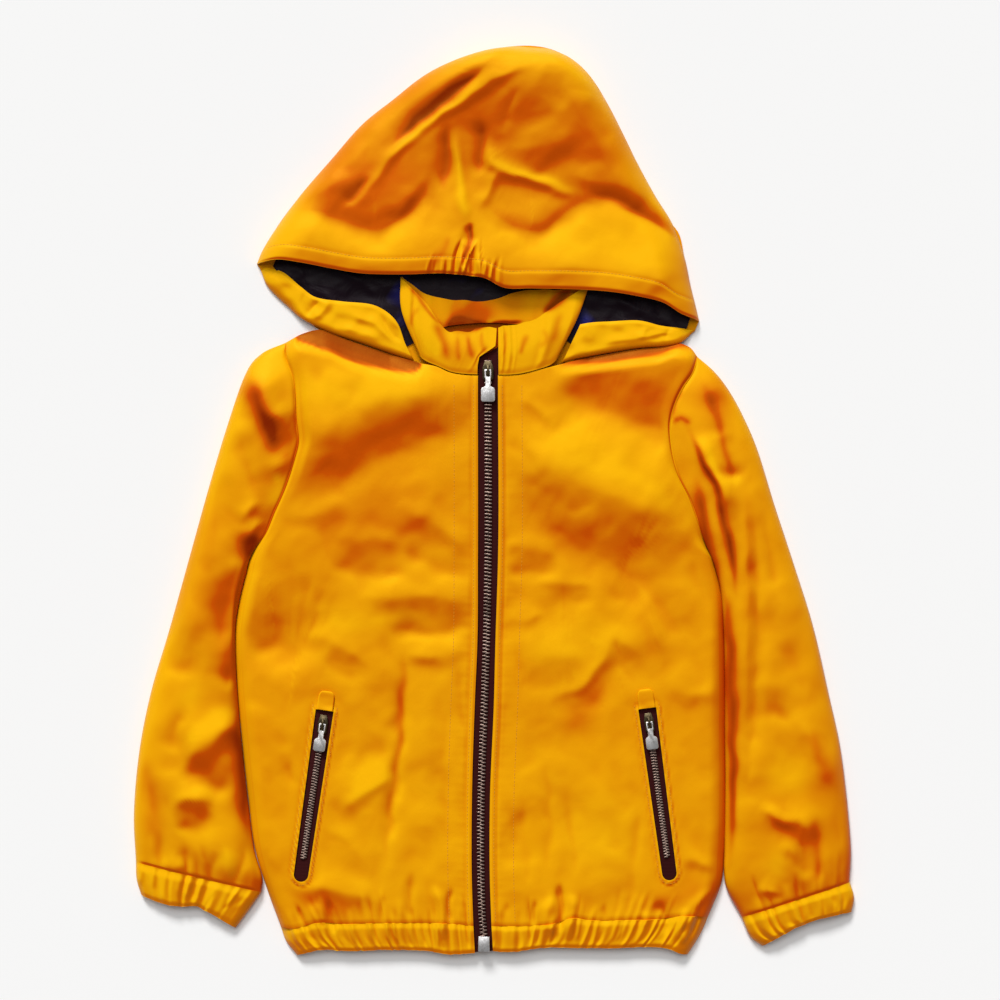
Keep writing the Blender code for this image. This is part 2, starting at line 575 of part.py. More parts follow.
def hem_grid(side, panel):
    """Outer side of a gathered hem band, whose first row follows the panel's last one."""
    at = gather_stations(HEM_GATHERS[side], (0.004, 0.014, 0.034, 0.075), (0.3, 0.7))
    shares = np.array([0.0, 0.3, 0.7, 1.0])
    first = along(HEM_SIDE[side], shares)
    last = along(HEM_CENTRE[side], shares)
    seam = along(HEM_SEAM[side], PANEL_ACROSS)
    top = np.stack([np.interp(at, PANEL_ACROSS, seam[:, k]) for k in (0, 1)], axis=1)
    plan = patch(top, along(HEM_EDGE[side], at), first, last, shares)
    from_side = np.linalg.norm(plan - plan[:, :1], axis=-1)
    seam = np.interp(at, PANEL_ACROSS, panel[-1, :, 2])
    body = seam + (HEM_HEIGHT - seam) * shares[:, None]
    grown = np.array([0.5, 0.9, 1.0, 0.8])[:, None] * HEM_PUFF * puffs(at, HEM_GATHERS[side])
    height = LOWEST_EDGE + (body + grown - LOWEST_EDGE) * roll(from_side, ROLL)
    return np.dstack([plan, height])


def build_hem(panels):
    made = {}
    for side in ("left", "right"):
        grid = hem_grid(side, panels[side][0])
        inner = inner_side(grid, cut=("top", "bottom", "last"), resting=("first",))
        wall(f"hem_band_{side}", grid, inner, ORANGE)
        made[side] = (grid, inner)
    return made


def build_back():
    """The back panel and back hem band, both flat on the table."""
    side, top, seam, edge, hem_side = {}, {}, {}, {}, {}
    for s in ("left", "right"):
        side[s] = np.concatenate([along(ARMHOLE[s], ACROSS), along(SIDE[s], SIDE_ROWS)])
        top[s] = along(SHOULDER[s], PANEL_ACROSS[PANEL_ACROSS < 0.68])
        seam[s] = along(HEM_SEAM[s], PANEL_ACROSS[1:])
        edge[s] = along(HEM_EDGE[s], np.linspace(0, 1, 14))
        hem_side[s] = along(HEM_SIDE[s], [0.0, 0.5])
    neck = along(BACK_NECK, np.linspace(0, 1, 11))
    lower = np.concatenate([seam["right"], seam["left"][::-1]])
    outline = [side["left"][::-1], top["left"][1:], neck, top["right"][::-1][:-1], side["right"],
               lower + (0, GAP)]
    slab("back_panel", tidy_outline(np.concatenate(outline)), 0, WALL, ORANGE)
    band = [hem_side["left"], edge["left"], edge["right"][::-1], hem_side["right"][::-1], lower]
    slab("hem_band_back", tidy_outline(np.concatenate(band)), 0, WALL, ORANGE)


def tidy_outline(outline, least=0.35):
    """Leaves out points that stand closer than `least`."""
    kept = [outline[0]]
    for point in outline[1:]:
        if np.hypot(*(point - kept[-1])) > least:
            kept.append(point)
    if np.hypot(*(kept[-1] - kept[0])) <= least:
        kept.pop()
    return np.array(kept)


# Sleeves ---------------------------------------------------------------------------------------------------


def tube(plan, top, bottom):
    """A flattened ring per row: over the top from the outer to the inner side and back underneath."""
    upper = np.dstack([plan, top])
    lower = np.dstack([plan, bottom])[:, -2:0:-1]
    return np.concatenate([upper, lower], axis=1)


def underside(s):
    height = FOLD_HEIGHT * (1 - dome(s, 16))
    return np.where(height < 0.15, 0.0, height)


def sleeve_plan(side, down):
    table = sections(SLEEVE[side], down)
    s = ACROSS[None, :, None]
    seam = along(ARMHOLE[side], ACROSS)
    bow = seam - (seam[0] + (seam[-1] - seam[0]) * ACROSS[:, None])
    plan = table[:, None, 0:2] * (1 - s) + table[:, None, 2:4] * s + table[:, None, 4:5] * bow[None]
    away = -1 if side == "left" else 1
    run = np.gradient(plan[0], axis=0)
    shift = np.stack([run[:, 1], -run[:, 0]], axis=1)
    shift *= away * np.sign(shift[5, 0]) / np.linalg.norm(shift, axis=1, keepdims=True)
    plan[0] += shift * GAP * 1.3
    return plan, table[:, 5]


def build_sleeve(side):
    down = np.array([0, 0.05, 0.11, 0.18, 0.26, 0.34, 0.42, 0.50, 0.58, 0.66, 0.74, 0.82, 0.90, 0.96, 1.0])
    plan, height = sleeve_plan(side, down)
    end = along([CUFF_OUTER[side][0], CUFF_INNER[side][0]], ACROSS)
    plan[-1] = end
    rise = height[:, None] + relief(plan, SLEEVE_FOLDS[side])
    top = FOLD_HEIGHT + (rise - FOLD_HEIGHT) * dome(ACROSS)
    bottom = np.tile(underside(ACROSS), (len(down), 1))
    grid = tube(plan, top, bottom)
    inner = inner_side(grid, ring=True)
    for row in (0, -1):
        inner[row] = ring_inner(grid[row])
    wall(f"sleeve_{side}", grid, inner, ORANGE, ring=True)
    return grid


def ring_inner(ring):
    """Inner line of a ring that keeps to the ring's own upright surface."""
    run = np.roll(ring, -1, axis=0) - np.roll(ring, 1, axis=0)
    chord = ring[len(ring) // 2] - ring[0]
    side = chord[:2] / np.hypot(*chord[:2])
    plan_run = run[:, :2] @ side
    out = np.stack([-run[:, 2], plan_run], axis=1)
    out /= np.linalg.norm(out, axis=1, keepdims=True)
    tangent = run[:, :2] / np.maximum(np.linalg.norm(run[:, :2], axis=1, keepdims=True), 1e-9)
    tangent *= np.sign(tangent @ side)[:, None]
    moved = ring.copy()
    flat = np.linalg.norm(run[:, :2], axis=1) > 0.2 * np.abs(run[:, 2])
    direction = np.where(flat[:, None], tangent, side)
    moved[:, :2] -= direction * out[:, :1] * WALL
    moved[:, 2] -= out[:, 1] * WALL
    return moved


def build_cuff(side):
    """A short gathered tube beyond the sleeve."""
    at = gather_stations(CUFF_GATHERS[side], (0.02, 0.98), (0.3, 0.7))
    shares = np.array([0.0, 0.35, 0.7, 1.0])
    top_line = along([CUFF_OUTER[side][0], CUFF_INNER[side][0]], at)
    plan = patch(top_line, along(CUFF_EDGE[side], at), along(CUFF_OUTER[side], shares),
                 along(CUFF_INNER[side], shares), shares)
    down = plan[1] - plan[0]
    plan[0] += down / np.linalg.norm(down, axis=1, keepdims=True) * GAP * 1.3
    body = np.array([12.5, 11.6, 11.0, 10.6])[:, None]
    grown = np.array([0.4, 1.0, 1.0, 0.8])[:, None] * CUFF_PUFF * puffs(at, CUFF_GATHERS[side])
    top = FOLD_HEIGHT + (body + grown - FOLD_HEIGHT) * dome(at)
    bottom = np.tile(underside(at), (len(shares), 1))
    grid = tube(plan, top, bottom)
    inner = inner_side(grid, ring=True)
    for row in (0, -1):
        inner[row] = ring_inner(grid[row])
    wall(f"cuff_{side}", grid, inner, ORANGE, ring=True)


# Collar and hood -------------------------------------------------------------------------------------------


def build_collar():
    """One band from the left front edge, round the back of the neck, to the right front edge."""
    table = np.array(COLLAR)
    lines = [table[:, 0:3], table[:, 3:6], table[:, 6:9]]
    shares = np.array([0.0, 0.2, 0.4, 0.6, 0.8, 1.0])
    grid = np.stack([at_knots(np.array([0.0, 0.5, 1.0]), np.stack([line[i] for line in lines]), shares)
                     for i in range(len(table))], axis=1)
    grid[:, 0, :2] = COLLAR_NOTCH
    inner = inner_side(grid, cut=("top", "first", "last"))
    return wall("collar", grid, inner, ORANGE)


def hood_grid(at, down, depth=0.0):
    """The hood's outer side, or with a depth the side that lies that far inside it."""
    table = sections(HOOD, down)
    left, right = table[:, None, 0:2], table[:, None, 2:4]
    inward = (right - left) / np.linalg.norm(right - left, axis=-1, keepdims=True)
    brim = along(BRIM_EDGE, at)
    bow = brim - (brim[0] + (brim[-1] - brim[0]) * at[:, None])
    s = at[None, :, None]
    plan = left * (1 - s) + right * s + table[:, None, 4:5] * bow[None]
    from_side = np.linalg.norm(plan - np.where(s < 0.5, plan[:, :1], plan[:, -1:]), axis=-1, keepdims=True)
    inset = 1.3 * depth * np.clip(1 - from_side / INSET_REACH, 0, 1)
    plan += inward * np.where(s < 0.5, inset, -inset)
    plan[..., 1] -= depth * np.clip((down - 0.8) / 0.2, 0, 1)[:, None]
    near = np.linalg.norm(plan - np.where(s < 0.5, plan[:, :1], plan[:, -1:]), axis=-1)
    rise = table[:, 5:6] - depth + relief(plan, HOOD_FOLDS)
    narrow = np.minimum(HOOD_ROLL, 0.5 * near.max(axis=1))[:, None]
    crown = roll(1.0 - down, 0.3)[:, None]
    return plan, LOWEST_EDGE + (rise - LOWEST_EDGE) * roll(near, narrow) * crown


def build_hood():
    seam = 0.105
    at = np.concatenate([HOOD_ROLL_STATIONS, np.arange(0.36, 0.78, 0.04), 1 - HOOD_ROLL_STATIONS[::-1]])
    down = np.concatenate([[seam], np.arange(0.16, 0.9, 0.06), [0.925, 0.962, 0.985, 0.997, 1.0]])
    outer, inner = (np.dstack(hood_grid(at, down, depth)) for depth in (0.0, WALL))
    inner[0, :, :2] = outer[0, :, :2]
    wall("hood_upper", outer, inner, ORANGE)
    build_brim(seam, at, outer[0])


def build_brim(seam, seam_at, seam_row):
    """The casing between the hood's free edge and its seam, gathered at the middle."""
    at = np.union1d(gather_stations(BRIM_GATHERS, (), (0.3, 0.7)), np.round(seam_at, 4))
    at = at[np.concatenate([[True], np.diff(at) > 1e-6])]
    down = np.array([0.0, 0.035, 0.07, seam])
    middle = np.clip(1 - np.abs(at - 0.478) / 0.11, 0, 1) ** 0.5
    puffed = np.array([0.4, 1.0, 1.0, 0.5])[:, None] * (puffs(at, BRIM_GATHERS) - 0.5) * 2.4 * middle
    sides = []
    for depth in (0.0, WALL):
        plan, rise = hood_grid(at, down, depth)
        grid = np.dstack([plan, rise + puffed])
        grid[-1, :, :2] = np.stack([np.interp(at, seam_at, seam_row[:, k]) for k in (0, 1)], axis=1)
        grid[-1, :, 1] -= GAP * 1.3
        sides.append(grid)
    sides[1][0, :, :2] = sides[0][0, :, :2]
    wall("brim_casing", *sides, ORANGE)


def build_strip(side):
    """The turned-up edge of the hood's opening, next to the neck."""
    table = sections(HOOD_STRIP[side], np.linspace(0, 1, 13))
    s = np.array([0.0, 0.05, 0.18, 0.4, 0.7, 1.0])
    plan = table[:, None, 0:2] * (1 - s[None, :, None]) + table[:, None, 2:4] * s[None, :, None]
    away = np.linalg.norm(plan - plan[:, :1], axis=-1)
    rise = LOWEST_EDGE + (table[:, 4:5] - LOWEST_EDGE) * roll(away, STRIP_ROLL)
    grid = np.dstack([plan, rise])
    inner = inner_side(grid, resting=("first",))
    inner[..., 2] = np.maximum(inner[..., 2], LOWEST_EDGE)
    wall(f"hood_{side}_edge", grid, inner, ORANGE)


def build_hood_under():
    """The hood's lower layer, flat on the table and cut just above the shoulders and the neck seam."""
    shoulder = {}
    for s, start in UNDER_SHOULDER.items():
        shoulder[s] = along(SHOULDER[s], PANEL_ACROSS[(PANEL_ACROSS >= start) & (PANEL_ACROSS < 0.68)])
    neck = along(BACK_NECK, np.linspace(0, 1, 11))[::-1]
    neck[:, 0] += GAP * np.sign(neck[:, 0] - neck[:, 0].mean())
    corner = sections([row[:2] for row in HOOD_STRIP["left"][:4]][::-1], np.linspace(0, 1, 8))
    lower = np.concatenate([shoulder["right"], neck, shoulder["left"][::-1]]) + (0, GAP)
    crown = along(HOOD_OUTLINE, np.linspace(0, 1, 44))
    outline = np.concatenate([crown, [HOOD_STRIP["right"][-1][:2]], lower, corner])
    slab("hood_under", tidy_outline(outline), 0, WALL, ORANGE)
    lining = along(LINING + LINING[:1], np.linspace(0, 1, 41))[:-1]
    slab("hood_lining", lining, LOWEST_EDGE, LOWEST_EDGE + 1.0, NAVY)


# Zips ------------------------------------------------------------------------------------------------------


def tree_of(outer, inner):
    """Two ray targets: the panel's upper and lower side."""
    trees = []
    for grid in (outer, inner):
        rows, cols = grid.shape[:2]
        faces = []
        for i in range(rows - 1):
            for j in range(cols - 1):
                a, b, c, d = i * cols + j, (i + 1) * cols + j, (i + 1) * cols + j + 1, i * cols + j + 1
                faces += [(a, b, c), (a, c, d)]
        trees.append(BVHTree.FromPolygons([Vector(p) for p in grid.reshape(-1, 3)], faces))
    return trees


def height_on(tree, x, y):
    """Height of the lowest crossing of an upright line with the target."""
    hit = tree.ray_cast(Vector((x, y, -50)), Vector((0, 0, 1)))[0]
    return hit.z if hit else None


def strap(name, left, right, high, thick, colour, roughness=0.5, metallic=0.0):
    """A flat strip between two lines; `high` is the height of its upper side at each row."""
    top = np.stack([np.column_stack([left, high]), np.column_stack([right, high])], axis=1)
    low = top - (0, 0, thick)
    return wall(name, top, low, colour, roughness=roughness, metallic=metallic)


def build_main_zip(panels, hems):
    """Tapes under the two front edges and one chain over them."""
    lines = {}
    for side in ("left", "right"):
        grid, inner = panels[side]
        hem, hem_inner = hems[side]
        start = (inner[0, -1, 0], TAPE_TOP, inner[0, -1, 2])
        lines[side] = np.concatenate([[start], inner[:, -1], hem_inner[1:, -1]])
    count = 35
    rows = {}
    for side in ("left", "right"):
        edge = lines[side]
        at, places = np.linspace(0, 1, count), column_shares(edge[:, :2])
        rows[side] = np.column_stack([np.interp(at, places, edge[:, k]) for k in range(3)])
    middle = (rows["left"][:, :2] + rows["right"][:, :2]) / 2
    under = []
    for side, sign in (("left", -1), ("right", 1)):
        trees = (tree_of(*panels[side])[1], tree_of(*hems[side])[1])
        under.append(tape_heights(rows[side], trees, sign))
    high = np.minimum(*under) - 0.5
    for side, sign in (("left", -1), ("right", 1)):
        outer = rows[side][:, :2] + (sign * 3.0, 0)
        near = middle + (sign * GAP / 2, 0)
        outer[0, 1] += TAPE_SLANT * (outer[0, 0] - middle[0, 0])
        pair = (outer, near) if side == "left" else (near, outer)
        strap(f"zip_tape_{side}", *pair, high, TAPE, TAPE_INK, 0.8)
    top = high + GAP + CHAIN_THICK
    half = CHAIN_WIDTH / 2
    chain, chain_top = middle[:-1].copy(), top[:-1]
    chain[0] -= (0, 7.0)
    chain[-1] = middle[-1] + (0, 12.5 + GAP)
    strap("zip_chain", chain - (half, 0), chain + (half, 0), chain_top, CHAIN_THICK, SILVER, 0.3, 1.0)
    return middle, top


def tape_heights(edge, trees, sign):
    """The lowest underside over the tape at each row."""
    found = []
    for k, (x, y, z) in enumerate(edge):
        lowest = z
        for step in (0.3, 1.5, 3.0, 4.5):
            for dy in (-6.0, 0.0, 6.0):
                for tree in trees:
                    hit = height_on(tree, x + sign * step, y + dy)
                    if hit is not None and hit > 5:
                        lowest = min(lowest, hit)
        found.append(lowest)
    return np.array(found)


def turned(points, origin, angle):
    """Plan points of a zip piece, whose -Y runs down the zip, at their place."""
    c, s = np.cos(angle), np.sin(angle)
    points = np.asarray(points, float)
    return points @ np.array([[c, s], [-s, c]]) + origin


def build_slider(name, origin, angle, low, chain_width):
    """A channel over the chain with an arch that holds the pull."""
    half = chain_width / 2 + 0.35
    plate = [(-2.6, 7.5), (2.6, 7.5), (half + 1.1, 2.0), (half + 0.9, -6.5), (half - 0.6, -8.0),
             (0.6 - half, -8.0),
             (-half - 0.9, -6.5), (-half - 1.1, 2.0)]
    body = slab(name, turned(plate, origin, angle), low, low + 1.3, BRONZE, 0.35, 1.0)
    for y0, y1 in ((2.6, 3.8), (-3.8, -2.6)):
        post = turned([(-0.9, y0), (0.9, y0), (0.9, y1), (-0.9, y1)], origin, angle)
        cut_away(body, slab("post", post, low + 0.9, low + 4.6, BRONZE), "UNION")
    bridge = turned([(-0.9, -3.8), (0.9, -3.8), (0.9, 3.8), (-0.9, 3.8)], origin, angle)
    cut_away(body, slab("bridge", bridge, low + 3.7, low + 4.9, BRONZE), "UNION")
    return low + 1.3 + 1.2


def build_pull(name, origin, angle, axis_height, scale=1.0):
    """A pull tab that lies along the zip, with an eye round the slider's arch."""
    length = 25.0 * scale
    neck, plate = 2.1, 5.6 * scale
    side = [(2.7, 0.7), (2.7, -5.6), (neck, -6.8), (neck, -length * 0.50), (plate - 0.6, -length * 0.56),
            (plate, -length * 0.62), (plate, -length + 1.2), (plate - 1.2, -length)]
    outline = side + [(-x, y) for x, y in side[::-1]]
    hinge = (*origin, axis_height)
    low, high = axis_height - PULL_THICK / 2, axis_height + PULL_THICK / 2
    pull = slab(name, turned(outline, origin, angle), low, high, SILVER, 0.25, 1.0, hinge)
    eye = turned([(-1.5, -0.7), (1.5, -0.7), (1.5, -5.0), (-1.5, -5.0)][::-1], origin, angle)
    return cut_away(pull, slab("eye", eye, low - 2, high + 2, SILVER))


def build_main_hardware(middle, top):
    origin = np.array(MAIN_BAIL)
    near = np.abs(middle[:, 1] - origin[1]) < 34
    origin = np.array([np.interp(origin[1], middle[::-1, 1], middle[::-1, 0]), origin[1]])
    low = top[near].max() + GAP
    height = build_slider("zip_slider", origin, 0.0, low, CHAIN_WIDTH)
    build_pull("zip_pull", origin, 0.0, height)
    end, tape_top = middle[-1], top[-3:].max() - CHAIN_THICK
    outline = [end + p for p in ((-4.4, 12.5), (4.4, 12.5), (4.6, 0.6), (-4.6, 0.6))]
    slab("zip_box", outline[::-1], tape_top, tape_top + 2.6, SILVER, 0.3, 1.0)
    return origin, height


def pocket_frame(side):
    x0, y0, x1, y1, wide, narrow = POCKET[side]
    start, run = np.array([x0, y0]), np.array([x1 - x0, y1 - y0])
    length = np.hypot(*run)
    return start, run / length, length, wide, narrow


def window_outline(start, run, length, wide, narrow):
    """A slot that narrows to a round lower end."""
    across = np.array([-run[1], run[0]])
    bend = np.linspace(-np.pi / 2, np.pi / 2, 9)
    centre = start + run * (length - narrow)
    end = [centre + run * narrow * np.cos(a) + across * narrow * np.sin(a) for a in bend]
    return np.array([start - across * wide, *end, start + across * wide])


def build_pocket(side, panel):
    """Window, tape, chain, slider, pull and tab of one slanted pocket."""
    start, run, length, wide, narrow = pocket_frame(side)
    across = np.array([-run[1], run[0]])
    grid, inner = panel
    above, below = tree_of(grid, inner)
    front = bpy.data.objects[f"front_{side}_panel"]
    cut_away(front, slab("window", window_outline(start, run, length, wide, narrow), 2.0, 40.0, NAVY))
    stations = np.linspace(-7.0, length + 4.0, 14)
    centre = start + run * stations[:, None]
    half = wide + 3.0
    high = []
    for point in centre:
        spots = [point + across * half * k + run * m for k in (-1, -0.5, 0, 0.5, 1) for m in (-5, 0, 5)]
        samples = [height_on(below, *spot) for spot in spots]
        high.append(min(h for h in samples if h is not None) - 0.35)
    high = np.array(high)
    strap(f"pocket_{side}_tape", centre - across * half, centre + across * half, high, TAPE, TAPE_INK, 0.8)
    top = high + GAP + CHAIN_THICK
    chain = slice(1, -2)
    width = POCKET_CHAIN_WIDTH / 2
    strap(f"pocket_{side}_chain", centre[chain] - across * width, centre[chain] + across * width, top[chain],
          CHAIN_THICK, SILVER, 0.3, 1.0)
    bail = start + run * POCKET_BAIL_AT
    near = np.abs(stations - POCKET_BAIL_AT) < 30
    surface = [height_on(above, *(bail + across * k + run * m)) for k in (-6, 0, 6) for m in (-9, 0, 9, 18)]
    low = top[near].max() + GAP
    angle = np.arctan2(run[0], -run[1])
    height = build_slider(f"pocket_{side}_slider", bail, angle, low, POCKET_CHAIN_WIDTH)
    height_pull = max(height, max(surface) + 1.0)
    build_pull(f"pocket_{side}_pull", bail, angle, height_pull, 0.86)
    build_tab(side, start, run, across, above)
    return bail, angle, height_pull


def build_tab(side, start, run, across, above):
    """A small cloth tab over the top of the window, laid on the panel's own surface."""
    half = 6.2
    rows = np.array([-15.5, -14.6, -12.5, -9.0, -4.5, -0.5])
    halves = half * np.array([0.35, 0.72, 0.94, 1.0, 1.0, 1.0])
    grid = []
    for reach, wide in zip(rows, halves):
        row = []
        for k in (-1, -0.5, 0, 0.5, 1):
            point = start + run * reach + across * wide * k
            spots = [point + d for d in ((0, 0), (1.5, 0), (-1.5, 0), (0, 1.5), (0, -1.5))]
            samples = [height_on(above, *spot) for spot in spots]
            row.append((*point, max(samples) + GAP + 0.35))
        grid.append(row)
    low = np.array(grid)
    wall(f"pocket_{side}_tab", low + (0, 0, 1.1), low, ORANGE)


def gather_under_empty():
    """Parents every piece to one empty at the origin."""
    root = bpy.data.objects.new("raincoat", None)
    bpy.context.scene.collection.objects.link(root)
    for piece in list(bpy.data.objects):
        if piece.type == "MESH":
            piece.parent = root


def main():
    clear_scene()
    build_back()
    panels = build_panels()
    hems = build_hem(panels)
    for side in ("left", "right"):
        build_sleeve(side)
        build_cuff(side)
    build_hood_under()
    build_hood()
    for side in ("left", "right"):
        build_strip(side)
    build_collar()
    middle, top = build_main_zip(panels, hems)
    build_main_hardware(middle, top)
    for side in ("left", "right"):
        build_pocket(side, panels[side])
    gather_under_empty()


if __name__ == "__main__":
    main()
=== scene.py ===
"""The looks of a child's hooded raincoat that lies on its back: cloth, creases, gathers, zips and stitches.

Lengths in the tables are millimetres and become metres in the meshes. +X is to the right as seen from
above, +Y goes from the hem to the hood and +Z is up. Each cloth piece is built again on the form of its
solid, with finer rows, its creases and its gathers.
"""

from __future__ import annotations

import logging
import sys
from dataclasses import dataclass, field
from enum import Enum

import bmesh
import bpy
import numpy as np
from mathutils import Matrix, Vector
from mathutils.bvhtree import BVHTree


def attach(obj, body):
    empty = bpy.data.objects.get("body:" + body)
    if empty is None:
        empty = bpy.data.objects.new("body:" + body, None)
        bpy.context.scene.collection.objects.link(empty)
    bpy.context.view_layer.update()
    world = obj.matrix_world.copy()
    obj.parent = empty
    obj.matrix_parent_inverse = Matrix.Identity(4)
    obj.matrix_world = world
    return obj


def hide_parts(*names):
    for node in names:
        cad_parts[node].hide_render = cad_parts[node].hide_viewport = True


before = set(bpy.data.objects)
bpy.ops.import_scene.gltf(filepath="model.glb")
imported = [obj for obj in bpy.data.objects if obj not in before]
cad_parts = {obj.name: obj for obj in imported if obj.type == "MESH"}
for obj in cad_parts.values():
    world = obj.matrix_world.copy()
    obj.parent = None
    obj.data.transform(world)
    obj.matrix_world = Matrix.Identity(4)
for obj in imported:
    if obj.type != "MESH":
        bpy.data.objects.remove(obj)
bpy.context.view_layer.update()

MM = 0.001
Array = np.ndarray
Point = tuple[float, float]
Lines = dict[str, list[Point]]
Fold = tuple[float, ...]
Colour = tuple[float, float, float]
Piece = bpy.types.Object
Finish = bpy.types.Material
Socket = bpy.types.NodeSocket
LOG = logging.getLogger("raincoat")


class Side(Enum):
    """A half of the coat as it is seen from above."""

    LEFT = "left"
    RIGHT = "right"


class Slot(Enum):
    """Material slots of the record."""

    COTTON = "coated_cotton"
    LINING = "navy_lining"
    TAPE = "zip_tape"
    TEETH = "zip_metal"
    SLIDER = "slider_metal"


@dataclass(frozen=True)
class Cloth:
    """Sizes that all cloth pieces share.

    Attributes:
        wall: thickness of the coated cotton with its inner layer.
        lowest_edge: height of an upper layer's edge over the table.
        fold_height: height of the folded side of a sleeve or cuff.
        roll: width over which a front panel rolls down to its side.
        body_height: height of the front panels.
        neck_height: height of the front panels at the neck seam.
    """

    wall: float = 1.0
    lowest_edge: float = 1.5
    fold_height: float = 4.0
    roll: float = 14.0
    body_height: float = 11.6
    neck_height: float = 11.0


CLOTH = Cloth()
EDGE_STATIONS = np.array([0.002, 0.005, 0.009, 0.014, 0.02, 0.027])
# SHADE is the plan direction away from the key light: folds drop steeply towards it, and cloth turned
# towards it gets painted shade
SHADE = (0.26, -0.97)  # plan direction that folds drop to
# Outlines as (x, y).
ARMHOLE: Lines = {
    "left": [(-166.4, 125.6), (-166.4, 118.4), (-160, 96.8), (-157.6, 64), (-156, 44), (-158.4, 34.4),
             (-166.4, 9.6), (-175.2, -10.4), (-182.4, -27.2), (-191.2, -40), (-196, -50.4),
             (-197.6, -58.4)],
    "right": [(162.4, 114.4), (158.4, 101.6), (150.4, 89.6), (144.8, 78.4), (140, 60), (140.8, 44),
              (145.6, 22.4), (156, 0.8), (164, -21.6), (169.6, -37.6), (174.4, -46.4)],
}
SIDE: Lines = {
    "left": [(-197.6, -58.4), (-203.2, -80), (-206.4, -99.2), (-205.6, -144), (-201.6, -191.2),
             (-196, -241.6), (-191.2, -278.4), (-181.6, -310.4), (-170.4, -340.8)],
    "right": [(174.4, -46.4), (182.4, -78.4), (184, -108.8), (184.8, -152), (184.8, -191.2), (185.2, -232),
              (184, -282.4), (181.6, -307.2), (176, -321.6), (171.2, -332.8)],
}
HEM_SIDE: Lines = {
    "left": [(-170.4, -340.8), (-166.4, -352), (-157.6, -363.2)],
    "right": [(171.2, -332.8), (165.6, -345.6), (155.2, -362.4)],
}
CENTRE: Lines = {
    "left": [(-12.8, 99.2), (-12.8, -48), (-13.2, -112), (-15.2, -160), (-17.6, -240), (-17.6, -304),
             (-16.4, -339.2)],
    "right": [(3.2, 99.2), (3.2, -48), (1.2, -112), (0, -160), (-3.2, -240), (-3.2, -304), (-2, -339.2)],
}
HEM_CENTRE: Lines = {
    "left": [(-16.4, -339.2), (-15.2, -360.8)],
    "right": [(-2, -339.2), (-0.8, -359.2)],
}
SHOULDER: Lines = {
    "left": [(-166.4, 125.6), (-152.8, 132.8), (-139.2, 136), (-119.2, 128.8), (-91.2, 119.2), (-68.8, 112),
             (-59.2, 109.2), (-44.8, 106), (-36, 102), (-22.4, 99.6), (-12.8, 99.2)],
    "right": [(162.4, 114.4), (156.8, 121.6), (149.6, 124.8), (132.8, 122), (115.2, 120.4), (90.4, 116.4),
              (66.4, 111.6), (49.6, 107.2), (36, 103.6), (19.2, 99.6), (3.2, 99.2)],
}
HEM_SEAM: Lines = {
    "left": [(-170.4, -340.8), (-161.6, -341.6), (-140.8, -336.8), (-119.2, -337.6), (-91.2, -336.8),
             (-74.4, -336.8), (-32.8, -337.6), (-16.4, -339.2)],
    "right": [(171.2, -332.8), (152, -331.2), (132.8, -333.6), (106.4, -334.4), (74.4, -334.4),
              (62.4, -332.8), (49.6, -336.8), (25.6, -339.2), (-2, -339.2)],
}
HEM_EDGE: Lines = {
    "left": [(-157.6, -363.2), (-147.2, -360), (-137.6, -358.4), (-115.2, -359.2), (-90.4, -358.4),
             (-64.8, -358.4), (-52, -359.2), (-38.4, -361.6), (-15.2, -360.8)],
    "right": [(155.2, -362.4), (148.8, -361.6), (141.6, -358.4), (116, -356), (100.8, -356.8),
              (68.8, -356.8), (37.6, -356.8), (13.6, -360), (-0.8, -359.2)],
}
HOOD_OUTLINE = [(-189.6, 188.8), (-176, 214.4), (-154.4, 244), (-129.6, 272.8), (-105.6, 300), (-80.8, 320),
            (-56, 339.2), (-32, 351.2), (-7.2, 359.2), (16.8, 363), (29.6, 363.2), (41.6, 361.6),
            (61.6, 352.8), (78.4, 336.8), (90.4, 317.6), (103.2, 292.8), (115.2, 268), (127.2, 244),
            (139.2, 224), (147.2, 214.4), (152, 195.2), (157.6, 168), (164, 143.2)]
BRIM_EDGE = [(-189.6, 188.8), (-173.6, 191.2), (-154.4, 188.8), (-129.6, 184), (-105.6, 180), (-88, 179.2),
            (-66.4, 179.2), (-44, 180), (-22.4, 178.4), (-7.2, 176), (7.2, 168.8), (29.6, 168),
            (66.4, 167.2), (90.4, 165.6), (115.2, 161.6), (134.4, 156.8), (149.6, 148), (164, 143.2)]
BACK_NECK = [(-59.2, 110.4), (-53.6, 128), (-39.2, 137.6), (-4, 142.4), (28.8, 140), (44, 128.8),
            (49.6, 108)]
LINING = [(-176.8, 186.8), (-161.6, 217.6), (-119.2, 248), (-43.2, 264), (52.8, 264), (116.8, 240),
          (139.2, 208), (156.8, 145.6), (153.6, 136), (132.8, 132), (84.8, 126.4), (62.4, 124.8),
          (46.4, 139.2), (20.8, 151.2), (-4, 153.6), (-31.2, 151.2), (-52.8, 139.2), (-65.6, 124.8),
          (-107.2, 134.4), (-140.8, 153.6), (-164.8, 172.8)]

